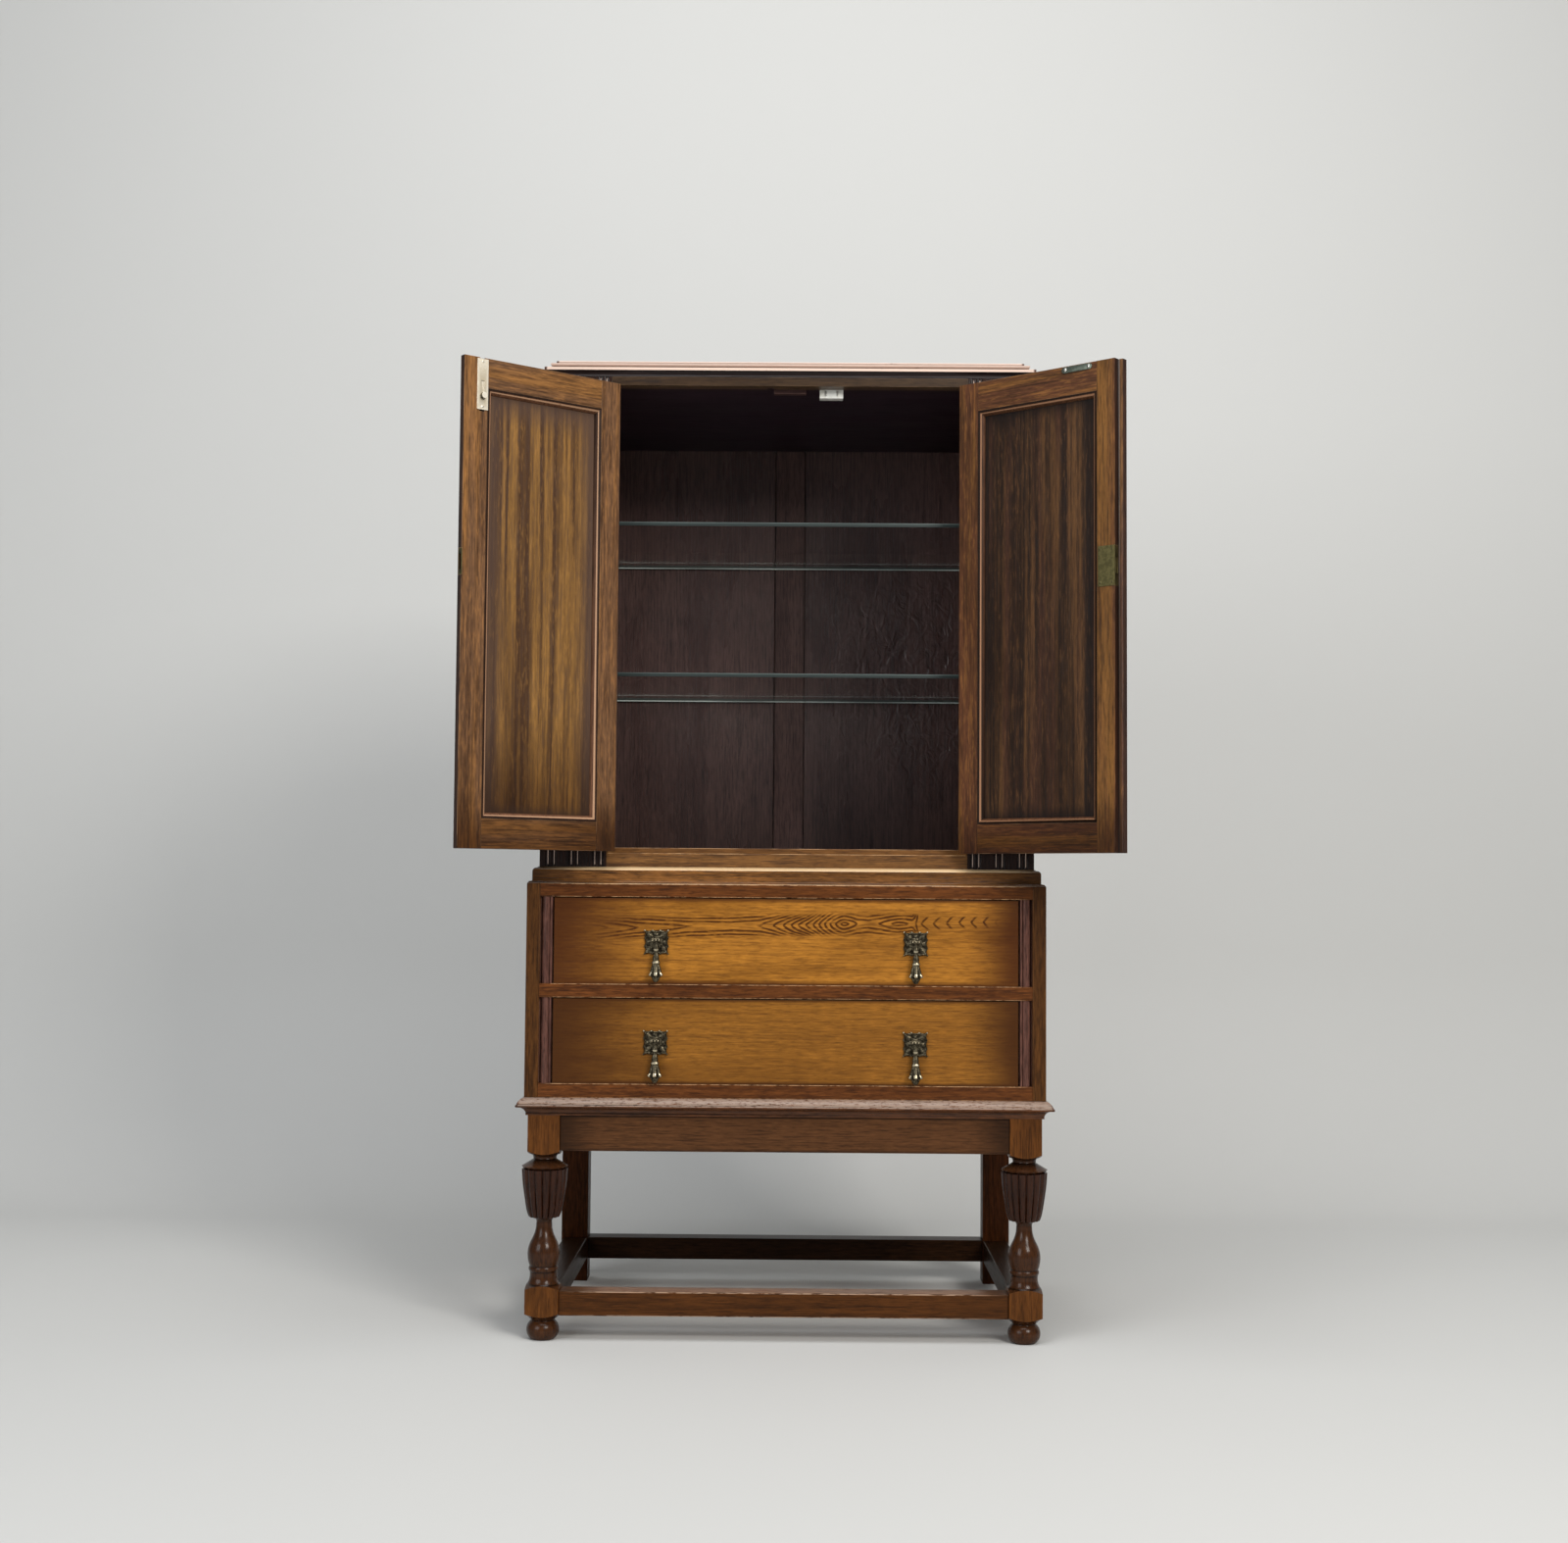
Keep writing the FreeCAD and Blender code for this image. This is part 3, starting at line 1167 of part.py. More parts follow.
def make_hinges():
    """Butt hinges: leaves on the pilasters with their pins, and leaves on the two doors."""
    frame_pieces = []
    for side in ("left", "right"):
        door_pieces = []
        for end in ("lower", "upper"):
            middle = ("door_bottom + hinge_end_distance" if end == "lower"
                      else "door_top - hinge_end_distance")
            low = f"{middle} - hinge_length / 2"
            high = f"{middle} + hinge_length / 2"
            third = "(hinge_length - 2 * knuckle_gap) / 3"
            first_end = f"{low} + {third}"
            last_start = f"{high} - {third}"
            name = f"{side}_{end}"
            frame_x = span(side, "opening_half - hinge_leaf_thickness", "opening_half")
            door_x = span(side, "door_outer", "door_outer + hinge_leaf_thickness")
            frame_pieces.append(hinge_leaf(f"frame_leaf_{name}", side, frame_x, (low, high),
                                           ((low, first_end), (last_start, high))))
            door_pieces.append(hinge_leaf(
                f"door_leaf_{name}", side, door_x, (low, high),
                ((f"{first_end} + knuckle_gap", f"{last_start} - knuckle_gap"),)))
            frame_pieces.append(hinge_rod(f"hinge_pin_{name}", side, "hinge_pin_radius", low, high))
        swung(f"{side}_hinge_door_leaves", side, door_pieces)
    keep(together("hinge_frame_leaves", frame_pieces))


def hinge_rod(label, side, radius, low, high):
    """A round piece on one door's hinge axis."""
    across = "-hinge_axis" if side == "left" else "hinge_axis"
    return rod(label, radius, low, high, (across, "hinge_axis_depth"), "z")


def hinge_leaf(label, side, across, up, knuckles):
    """One leaf of a hinge with its knuckles, bored for the pin."""
    clear = "cupboard_front + hinge_leaf_gap"
    pieces = [board(f"{label}_plate", across, (clear, f"{clear} + hinge_leaf_width"), up)]
    for index, (low, high) in enumerate(knuckles):
        pieces.append(hinge_rod(f"{label}_knuckle_{index}", side, "hinge_knuckle_radius", low, high))
        pieces.append(board(f"{label}_web_{index}", across, ("hinge_axis_depth", clear), (low, high)))
    bore = hinge_rod(f"{label}_bore", side, "hinge_pin_radius + hinge_pin_gap",
                     f"{up[0]} - overrun", f"{up[1]} + overrun")
    return cut(label, fuse(f"{label}_solid", pieces), [bore])


def make_door(side):
    """Stiles, rails, panel and beading of one door."""
    along = ("cupboard_front", "door_back")
    up = ("door_bottom", "door_top")
    hinge_stile = board(f"{side}_hinge_stile", span(side, "panel_outer", "door_outer"), along, up)
    inner = f"{side}_panel_inner"
    blank = board(f"{side}_meeting_blank", span(side, "door_inner", inner), along, up)
    meeting = left_meeting_stile(blank) if side == "left" else right_meeting_stile(blank)
    swung(f"{side}_door_stiles", side, [hinge_stile, meeting])
    across = span(side, inner, "panel_outer")
    rails = [board(f"{side}_door_rail_bottom", across, along, ("door_bottom", "panel_bottom")),
             board(f"{side}_door_rail_top", across, along, ("panel_top", "door_top"))]
    swung(f"{side}_door_rails", side, rails)
    swung(f"{side}_door_panel", side, [
        board(f"{side}_panel_board", across, ("panel_front", "panel_back"),
              ("panel_bottom", "panel_top"))])
    near, far = sorted((length(inner), length("panel_outer")))
    if side == "left":
        near, far = -far, -near
    width = length("bead_width")
    strips = []
    for face, depth in ((length("panel_back"), length("door_back") - length("panel_back")),
                        (length("panel_front"), length("cupboard_front") - length("panel_front"))):
        strips += framed_bead(near, far, length("panel_bottom"), length("panel_top"),
                              face, depth, width)
    swung(f"{side}_door_beading", side, [
        formed(f"{side}_bead_{index}", strip) for index, strip in enumerate(strips, start=1)])


def left_meeting_stile(blank):
    """The passive door's meeting stile: rebated in front, with room for the keeper and the bolt."""
    rebate = board("left_rebate", ("-lip_width - lip_gap", "overrun"),
                   ("cupboard_front - overrun", "cupboard_front + lip_thickness + lip_face_gap"),
                   ("door_bottom - overrun", "door_top + overrun"))
    keeper_seat = board("keeper_seat",
                        ("-door_inner - keeper_thickness", "0"),
                        ("lock_bolt_axis_depth - keeper_width / 2",
                         "lock_bolt_axis_depth + keeper_width / 2"),
                        ("lock_level - keeper_height / 2", "lock_level + keeper_height / 2"))
    keeper_pocket = board("keeper_pocket",
                          ("-door_inner - keeper_pocket_depth", "-door_inner - keeper_thickness"),
                          ("lock_bolt_axis_depth - keeper_slot_width / 2",
                           "lock_bolt_axis_depth + keeper_slot_width / 2"),
                          ("lock_level - keeper_slot_height / 2",
                           "lock_level + keeper_slot_height / 2"))
    groove_half = "bolt_bar_width / 2 + bolt_bar_gap"
    groove = board("bolt_groove",
                   (f"-bolt_plate_place - ({groove_half})", f"-bolt_plate_place + {groove_half}"),
                   ("bolt_bar_front - bolt_bar_gap", "door_back + overrun"),
                   ("bolt_bar_top - bolt_bar_height - bolt_travel", "door_top + overrun"))
    return cut("left_meeting_stile", blank, [rebate, keeper_seat, keeper_pocket, groove])


def right_meeting_stile(blank):
    """The active door's meeting stile: a lip that covers the joint, and the mortise of the lock."""
    lip = board("right_lip", ("-lip_width", "door_inner"),
                ("cupboard_front", "cupboard_front + lip_thickness"), ("door_bottom", "door_top"))
    mortise = board("lock_mortise", ("-overrun", "door_inner + lock_width"),
                    ("lock_front", "door_back + overrun"),
                    ("lock_level - lock_height / 2", "lock_level + lock_height / 2"))
    lipped = fuse("right_meeting_lipped", [blank, lip])
    key_way = rod("right_key_way", "key_hole_radius", "cupboard_front - overrun", "lock_front + overrun",
                  ("escutcheon_edge", "escutcheon_level"), "y")
    return cut("right_meeting_stile", lipped, [mortise, key_way])


def make_lock():
    """The cut lock on the right door, its sliding bolt, and the keeper in the left door's edge."""
    case = board("lock_case_blank", ("door_inner", "door_inner + lock_width"),
                 ("lock_front", "door_back + lock_proud"),
                 ("lock_level - lock_height / 2", "lock_level + lock_height / 2"))
    room = board("lock_bolt_room",
                 ("0", "door_inner + lock_bolt_length + lock_bolt_travel + lock_bolt_gap"),
                 ("lock_bolt_axis_depth - lock_bolt_thickness / 2 - lock_bolt_gap",
                  "lock_bolt_axis_depth + lock_bolt_thickness / 2 + lock_bolt_gap"),
                 ("lock_level - lock_bolt_height / 2 - lock_bolt_gap",
                  "lock_level + lock_bolt_height / 2 + lock_bolt_gap"))
    swung("lock_case", "right", [cut("lock_case_cut", case, [room])])
    swung("lock_bolt", "right", [
        board("lock_bolt_blank", ("door_inner + lock_bolt_gap",
                                  "door_inner + lock_bolt_gap + lock_bolt_length"),
              ("lock_bolt_axis_depth - lock_bolt_thickness / 2",
               "lock_bolt_axis_depth + lock_bolt_thickness / 2"),
              ("lock_level - lock_bolt_height / 2", "lock_level + lock_bolt_height / 2"))])
    keeper = doc.addObject("PartDesign::Body", "keeper_body")
    sketch = sketch_on(keeper, "YZ_Plane", "keeper_outline")
    draw_rectangle(sketch, "keeper_width", "keeper_height")
    pad = keeper.newObject("PartDesign::Pad", "keeper_pad")
    pad.Profile = sketch
    pad.setExpression("Length", bound("keeper_thickness"))
    doc.recompute()
    slot = sketch_on(keeper, "YZ_Plane", "keeper_slot")
    draw_rectangle(slot, "keeper_slot_width", "keeper_slot_height")
    pocket(keeper, slot)
    place_body(keeper, "-door_inner - keeper_thickness", "lock_bolt_axis_depth", "lock_level")
    swung("lock_keeper", "left", [keeper])


def make_escutcheon():
    """A low domed rose over the key hole, on the outer face of the right door."""
    body = doc.addObject("PartDesign::Body", "escutcheon_body")
    sketch = sketch_on(body, "XZ_Plane", "escutcheon_outline")
    draw_circle(sketch, "escutcheon_radius")
    pad = body.newObject("PartDesign::Pad", "escutcheon_pad")
    pad.Profile = sketch
    pad.setExpression("Length", bound("escutcheon_height"))
    doc.recompute()
    edges = [f"Edge{index}" for index, edge in enumerate(pad.Shape.Edges, start=1)
             if edge.CenterOfMass.y < -length("escutcheon_height") / 2
             and edge.BoundBox.YLength < length("escutcheon_height") / 2]
    dome = body.newObject("PartDesign::Fillet", "escutcheon_dome")
    dome.Base = (pad, edges)
    dome.setExpression("Radius", bound(f"escutcheon_height * {ESCUTCHEON_DOME_SHARE}"))
    doc.recompute()
    hole = sketch_on(body, "XZ_Plane", "key_hole")
    draw_circle(hole, "key_hole_radius")
    pocket(body, hole)
    place_body(body, "escutcheon_edge", "cupboard_front", "escutcheon_level")
    swung("escutcheon", "right", [body])


def make_strike():
    """The steel strike plate of the magnetic catch, with its two screw holes."""
    body = plate_body("strike_body", "strike_length", "strike_height", "strike_thickness")
    for index, sign in enumerate(("-", ""), start=1):
        hole = sketch_on(body, "XZ_Plane", f"strike_hole_{index}")
        draw_circle(hole, "strike_screw_radius", f"{sign}strike_screw_spacing / 2")
        pocket(body, hole)
    place_body(body, "strike_place", "door_back", "door_top - strike_top_gap - strike_height / 2")
    swung("strike_plate", "right", [body])


def make_top_bolt():
    """The bolt at the top of the left door: its slotted plate, and the bar with its knob."""
    body = plate_body("bolt_plate_body", "bolt_plate_width", "bolt_plate_height",
                      "bolt_plate_thickness")
    middle = "bolt_bar_top - bolt_plate_height / 2"
    place_body(body, "-bolt_plate_place", "door_back", middle)
    knob_level = "bolt_bar_top - bolt_knob_drop"
    slot = board("bolt_plate_slot",
                 ("-bolt_plate_place - bolt_slot_width / 2", "-bolt_plate_place + bolt_slot_width / 2"),
                 ("door_back - overrun", "door_back + overrun"),
                 (f"{knob_level} - bolt_slot_width / 2 - bolt_bar_gap",
                  f"{knob_level} - bolt_slot_width / 2 - bolt_bar_gap + bolt_slot_height"))
    swung("bolt_plate", "left", [cut("bolt_plate_slotted", body, [slot])])
    bar = board("bolt_bar",
                ("-bolt_plate_place - bolt_bar_width / 2", "-bolt_plate_place + bolt_bar_width / 2"),
                ("bolt_bar_front", "bolt_bar_front + bolt_bar_thickness"),
                ("bolt_bar_top - bolt_bar_height", "bolt_bar_top"))
    stem = rod("bolt_stem", "bolt_stem_radius", "bolt_bar_front", "door_back + bolt_knob_reach",
               ("-bolt_plate_place", knob_level), "y")
    knob = rod("bolt_knob", "bolt_knob_radius",
               "door_back + bolt_plate_thickness + bolt_bar_gap", "door_back + bolt_knob_reach",
               ("-bolt_plate_place", knob_level), "y")
    swung("top_bolt", "left", [fuse("bolt_bar_and_knob", [bar, stem, knob])])


def make_catches():
    """The magnetic catch and the stop block, both fixed under the cupboard's ceiling."""
    low = "strike_place - catch_width / 2"
    high = "strike_place + catch_width / 2"
    face = "catch_front + catch_pole_proud"
    up = ("ceiling_level - catch_height", "ceiling_level")
    case = board("catch_case", (low, high), (face, f"{face} + catch_depth"), up)
    poles = []
    for index, place in enumerate((f"{low} + catch_width / 4", f"{high} - catch_width / 4"), start=1):
        poles.append(board(f"catch_pole_{index}",
                           (f"{place} - catch_pole_width / 2", f"{place} + catch_pole_width / 2"),
                           ("catch_front", face),
                           (f"{up[0]} + catch_pole_width", f"{up[1]} - catch_pole_width")))
    keep(together("magnetic_catch", [case] + poles))
    start = "door_back + bolt_plate_thickness + stop_block_gap"
    keep(board("stop_block", ("-stop_block_width / 2", "stop_block_width / 2"),
               (start, f"{start} + stop_block_depth"),
               ("ceiling_level - stop_block_height", "ceiling_level")))


def check_and_write():
    """Stop if any object failed, then write every node to its own file."""
    doc.recompute()
    for item in doc.Objects:
        if "Invalid" in item.State or "Error" in item.State:
            raise RuntimeError(f"{item.Label}: {item.State}")
    os.makedirs("parts", exist_ok=True)
    for node in nodes:
        if node.Shape.isNull() or not node.Shape.isValid():
            raise RuntimeError(f"{node.Label}: shape is empty or not valid")
        if not node.Shape.Solids:
            raise RuntimeError(f"{node.Label}: no solid")
    for node in nodes:
        node.Shape.exportStep(f"parts/{node.Label}.step")
    print(len(nodes), "nodes")


make_stand()
make_chest()
for drawer in ("upper", "lower"):
    make_drawer(drawer)
    make_pulls(drawer)
make_cupboard()
for door_side in ("left", "right"):
    make_door(door_side)
make_hinges()
make_lock()
make_escutcheon()
make_strike()
make_top_bolt()
make_catches()
check_and_write()
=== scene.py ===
import json
import logging
import math
import random
from dataclasses import dataclass
from enum import Enum
from typing import Any, Callable, Sequence

import bmesh
import bpy
from mathutils import Matrix, Vector

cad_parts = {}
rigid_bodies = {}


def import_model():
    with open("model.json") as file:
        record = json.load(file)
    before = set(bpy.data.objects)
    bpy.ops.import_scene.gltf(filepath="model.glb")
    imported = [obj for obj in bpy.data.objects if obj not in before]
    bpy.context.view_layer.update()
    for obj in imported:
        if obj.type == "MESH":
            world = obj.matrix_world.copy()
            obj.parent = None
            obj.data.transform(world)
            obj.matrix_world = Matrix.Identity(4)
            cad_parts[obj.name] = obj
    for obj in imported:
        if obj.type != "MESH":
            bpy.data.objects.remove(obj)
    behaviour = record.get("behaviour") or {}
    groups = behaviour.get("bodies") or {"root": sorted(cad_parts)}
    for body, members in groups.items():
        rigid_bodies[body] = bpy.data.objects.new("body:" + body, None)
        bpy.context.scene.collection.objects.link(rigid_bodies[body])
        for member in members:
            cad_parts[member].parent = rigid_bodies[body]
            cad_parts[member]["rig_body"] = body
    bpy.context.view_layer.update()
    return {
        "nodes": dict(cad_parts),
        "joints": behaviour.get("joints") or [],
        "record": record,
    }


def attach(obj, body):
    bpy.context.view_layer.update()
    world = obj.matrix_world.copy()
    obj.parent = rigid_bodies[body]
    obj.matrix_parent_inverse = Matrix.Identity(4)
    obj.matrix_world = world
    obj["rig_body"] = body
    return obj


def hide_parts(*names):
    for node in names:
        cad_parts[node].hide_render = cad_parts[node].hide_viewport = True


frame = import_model()
LOG = logging.getLogger("drinks_cabinet")

Mesh = bmesh.types.BMesh
Vert = bmesh.types.BMVert
Face = bmesh.types.BMFace
Piece = bpy.types.Object
Material = bpy.types.Material
Colour = tuple[float, float, float, float]
Place = tuple[float, float, float]
WELD_DISTANCE = 1e-6
FLAT_ANGLE = math.radians(0.3)
ARRIS_ANGLE = math.radians(40.0)
HOLLOW_START = math.radians(3.0)
HOLLOW_FULL = math.radians(28.0)
HOLLOW_FACE_AREA = 0.003
HOLLOW_FACE_WIDTH = 0.012
SMOOTH_ANGLE = math.radians(38.0)
UPWARD = 0.3


def tone(red: float, green: float, blue: float) -> Colour:
    """Turn a screen colour into the linear colour that shaders take.

    Args:
        red: Red, from 0 to 255.
        green: Green, from 0 to 255.
        blue: Blue, from 0 to 255.

    Returns:
        The linear colour, opaque.
    """
    linear = []
    for value in (red, green, blue):
        share = value / 255.0
        linear.append(share / 12.92 if share <= 0.04045 else ((share + 0.055) / 1.055) ** 2.4)
    return linear[0], linear[1], linear[2], 1.0


def brighter(colour: Colour, times: float) -> Colour:
    """A linear colour made brighter, and opaque."""
    return tuple(min(1.0, value * times) for value in colour[:3]) + (1.0,)


def limited(value: float) -> float:
    """A number held between 0 and 1."""
    return max(0.0, min(1.0, value))


def between(value: float, ends: tuple[float, float]) -> bool:
    """Whether a number lies between two others."""
    return ends[0] < value < ends[1]


# Shader expressions

@dataclass(frozen=True)
class Layer:
    """A layer of noise: how often it changes in a metre along each axis, and how fine it is."""

    often: tuple[float, float, float]
    detail: float = 2.0
    rough: float = 0.5
    bend: float = 0.0


def even(often: float, *rest: float) -> Layer:
    """Noise that is alike in every direction."""
    return Layer((often, often, often), *rest)


def grained(along: float, across: float, *rest: float) -> Layer:
    """Noise that is drawn out along the grain."""
    return Layer((along, across, across), *rest)


@dataclass(frozen=True)
class Wire:
    """An output socket of a shader node, with the graph that it is in."""

    graph: "Graph"
    socket: bpy.types.NodeSocket


def operation(name: str, reflected: bool = False) -> Callable[..., "Scalar"]:
    """A method that runs one Math node on a scalar and what it meets.

    Args:
        name: The node's operation.
        reflected: Whether the scalar comes second.

    Returns:
        The method.
    """
    def run(first: "Scalar", *others: Any) -> "Scalar":
        """Run the node."""
        return first.graph.math(name, *((*others, first) if reflected else (first, *others)))
    return run


class Scalar(Wire):
    """A number that varies over a surface and takes part in arithmetic."""

    __add__ = operation("ADD")
    __radd__ = operation("ADD", reflected=True)
    __sub__ = operation("SUBTRACT")
    __rsub__ = operation("SUBTRACT", reflected=True)
    __mul__ = operation("MULTIPLY")
    __rmul__ = operation("MULTIPLY", reflected=True)
    __truediv__ = operation("DIVIDE")
    __pow__ = operation("POWER")
    sine = operation("SINE")
    fraction = operation("FRACT")
    size = operation("ABSOLUTE")
    least = operation("MINIMUM")
    most = operation("MAXIMUM")

    def step(self, low: float, high: float) -> "Scalar":
        """A smooth rise from 0 at low to 1 at high.

        Args:
            low: Where the rise starts.
            high: Where it ends; below low for a fall.

        Returns:
            The eased value, from 0 to 1.
        """
        settings = {"interpolation_type": "SMOOTHSTEP"}
        inputs = {"Value": self, "From Min": min(low, high), "From Max": max(low, high),
                  "To Min": 0.0 if high > low else 1.0, "To Max": 1.0 if high > low else 0.0}
        return Scalar(self.graph, self.graph.node("ShaderNodeMapRange", settings, inputs).outputs[0])


Span = tuple[Scalar, Scalar, Scalar]


class Field(Wire):
    """A vector or colour that varies over a surface."""

    def noise(self, layer: Layer) -> Scalar:
        """Read one layer of noise at this place, for a value near 0.5.

        Args:
            layer: The layer.

        Returns:
            The noise.
        """
        node = self.graph.node("ShaderNodeVectorMath", {"operation": "MULTIPLY"},
                               {0: self, 1: layer.often})
        inputs = {"Vector": Field(self.graph, node.outputs[0]), "Scale": 1.0, "Detail": layer.detail,
                  "Roughness": layer.rough, "Distortion": layer.bend}
        return Scalar(self.graph, self.graph.node("ShaderNodeTexNoise", None, inputs).outputs[0])

    def parts(self) -> Span:
        """The three numbers of the vector."""
        node = self.graph.node("ShaderNodeSeparateXYZ", None, {0: self})
        return tuple(Scalar(self.graph, node.outputs[index]) for index in range(3))


class Graph:
    """The node tree of one material."""

    def __init__(self, name: str) -> None:
        """Make an empty material.

        Args:
            name: The material's name.
        """
        self.material = bpy.data.materials.new(name)
        self.material.use_nodes = True
        self.tree = self.material.node_tree
        self.tree.nodes.clear()

    def node(self, kind: str, settings: dict[str, Any] | None = None,
             inputs: dict[str | int, Any] | None = None) -> bpy.types.Node:
        """Add one node.

        Args:
            kind: The node's type name.
            settings: Its properties, set before the sockets.
            inputs: Its sockets, by name or place, with constants or wires.

        Returns:
            The new node.
        """
        made = self.tree.nodes.new(kind)
        for name, value in (settings or {}).items():
            setattr(made, name, value)
        for name, value in (inputs or {}).items():
            if isinstance(value, Wire):
                self.tree.links.new(value.socket, made.inputs[name])
            else:
                made.inputs[name].default_value = value
        return made

    def math(self, operation: str, *values: Any) -> Scalar:
        """Run one Math node."""
        node = self.node("ShaderNodeMath", {"operation": operation}, dict(enumerate(values)))
        return Scalar(self, node.outputs[0])

    def blend(self, share: Any, first: Any, second: Any, mode: str = "MIX") -> Field:
        """Mix two colours.

        Args:
            share: How much of the second colour, from 0 to 1.
            first: The colour at 0.
            second: The colour at 1.
            mode: How the second is laid on the first.

        Returns:
            The mixed colour.
        """
        settings = {"data_type": "RGBA", "blend_type": mode, "clamp_factor": True}
        node = self.node("ShaderNodeMix", settings, {0: share, 6: first, 7: second})
        return Field(self, node.outputs[2])

    def attribute(self, name: str) -> Field:
        """A vector kept on the mesh."""
        return Field(self, self.node("ShaderNodeAttribute", {"attribute_name": name}).outputs["Vector"])

    def share(self, name: str) -> Scalar:
        """A number kept on the mesh."""
        return Scalar(self, self.node("ShaderNodeAttribute", {"attribute_name": name}).outputs["Fac"])

    def here(self) -> Field:
        """The place on the object, in metres."""
        return Field(self, self.node("ShaderNodeTexCoord").outputs["Object"])

    def choose(self, share: Any, first: Any, second: Any) -> Scalar:
        """Mix two numbers, share being how much of the second."""
        settings = {"data_type": "FLOAT", "clamp_factor": True}
        node = self.node("ShaderNodeMix", settings, {0: share, 2: first, 3: second})
        return Scalar(self, node.outputs[0])

    def curve(self, place: Any, stops: Sequence[tuple[float, float]]) -> Scalar:
        """Read a number off a line through stops.

        Args:
            place: Where to read it, from 0 to 1.
            stops: Pairs of place and value, each from 0 to 1.

        Returns:
            The value.
        """
        node = self.node("ShaderNodeValToRGB", None, {0: place})
        ramp = node.color_ramp
        ramp.interpolation = "LINEAR"
        for index, (at, value) in enumerate(stops):
            stop = ramp.elements[index] if index < 2 else ramp.elements.new(at)
            stop.position = at
            stop.color = (value, value, value, 1.0)
        return Scalar(self, node.outputs[0])

    def bump(self, height: Scalar, depth: float, strength: float = 1.0) -> Field:
        """A surface normal from a height, whose full range is depth metres."""
        inputs = {"Height": height, "Distance": depth, "Strength": strength}
        return Field(self, self.node("ShaderNodeBump", None, inputs).outputs[0])

    def facing(self) -> Scalar:
        """One on the front of a face, zero on its back."""
        return 1.0 - Scalar(self, self.node("ShaderNodeNewGeometry").outputs["Backfacing"])

    def close(self, inputs: dict[str, Any]) -> Material:
        """Feed a Principled shader and finish the material.

        Args:
            inputs: The shader's sockets, with constants or wires.

        Returns:
            The finished material.
        """
        shader = self.node("ShaderNodeBsdfPrincipled", None, inputs)
        out = self.node("ShaderNodeOutputMaterial")
        self.tree.links.new(shader.outputs[0], out.inputs["Surface"])
        return self.material


# Finishes

RIBBON_BROAD = grained(1.1, 62.0, 1.0, 0.5, 0.2)
RIBBON_FINE = grained(2.2, 190.0)
RING_DRIFT = grained(1.7, 7.0)
RING_FADE = grained(2.0, 26.0)
STREAKS = grained(9.0, 170.0, 3.0, 0.65)
FLECKS = grained(48.0, 330.0, 2.0, 0.7)
FIBRE = grained(20.0, 560.0, 2.0, 0.6)
BLOTCHES = grained(3.6, 15.0, 3.0, 0.6)
STAIN_CLOUDS = grained(1.4, 34.0)
ARCH_WAVE = Layer((14.0, 60.0, 0.0))
ARCH_BREAKS = Layer((60.0, 160.0, 0.0), 1.0)
ARCH_SPOTS = Layer((17.0, 60.0, 0.0), 1.0)
QUIET_GRAIN = Layer((2.6, 260.0, 0.0), 2.0, 0.6)
RIPPLES = Layer((60.0, 0.0, 42.0), 2.0, 0.5, 1.2)
BRUSHING = Layer((2600.0, 2600.0, 60.0))
DUST = even(9.0, 4.0, 0.6)
GRIT = even(900.0)
GRIME = even(120.0, 4.0, 0.6)
EDGE_CLOUDS = Layer((7.0, 7.0, 40.0))
PAPER_CLOUDS = even(0.8)
PALE_STREAK = (0.46, 0.30)
DARK_STREAK = (0.50, 0.68)
PALE_FLECK = (0.47, 0.33)
DARK_FLECK = (0.51, 0.66)
OPEN_PORE = (0.54, 0.66)
DARK_BLOTCH = (0.56, 0.30)
STAINED_CLOUD = (0.42, 0.58)
CHIP_MIDDLE = 0.70
CHIP_SOFTNESS = 0.09
JOINT_CLEAR = 0.003
JOINT_FADE = 0.007
FIBRE_DEPTH = 0.00012
RIPPLE_DEPTH = 0.0022
# Painted shade: what darkens the lower part of a board.
DIM_SHADE = (0.26, 0.18, 0.10, 1.0)
CATHEDRAL_LINE = 0.635
CATHEDRAL_TILT = 0.119
CATHEDRAL_POINT = 1.5
CATHEDRAL_RING = 0.0026
CATHEDRAL_MOST_RINGS = 13.0
CATHEDRAL_HALF_BAND = 0.017
CATHEDRAL_LINE_HALF = 0.0014
CATHEDRAL_STEP = 0.0005
CATHEDRAL_LINE_EDGE = (CATHEDRAL_LINE_HALF * 1.4, CATHEDRAL_LINE_HALF * 0.6)
CATHEDRAL_BAND_EDGE = (1.15, 0.60)
CATHEDRAL_START = (0.05, 0.16)
CATHEDRAL_END = (0.965, 0.93)
CATHEDRAL_RINGS = (
    (0.0, 0.62), (1.0, 0.90), (0.112, 0.731), (0.176, 0.808), (0.282, 0.885), (0.381, 0.918),
    (0.445, 0.885), (0.474, 0.808), (0.495, 0.731), (0.512, 0.654), (0.528, 0.577), (0.559, 0.423),
    (0.583, 0.269), (0.623, 0.0), (0.652, 0.125), (0.676, 0.154), (0.705, 0.11), (0.743, 0.0),
    (0.779, 0.077),
)
CHEVRON_START = 0.780
CHEVRON_COUNT = 38.0
CHEVRON_CHANGE = (CHEVRON_START - 0.01, CHEVRON_START + 0.01)
CHEVRON_NARROWING = (CHEVRON_START - 0.03, CHEVRON_START + 0.04)


class Figure(Enum):
    """How the grain of a board runs."""

    STRAIGHT = "straight"
    RIBBON = "ribbon"
    CATHEDRAL = "cathedral"
    RIPPLE = "ripple"


@dataclass(frozen=True)
class Finish:
    """A material that is made once and then shared."""

    name: str

    def material(self) -> Material:
        """The material, made on first use."""
        known = bpy.data.materials.get(self.name)
        return known if known else self.make(Graph(self.name))

    def make(self, graph: Graph) -> Material:
        """Build the material's nodes."""
        raise NotImplementedError(self.name)


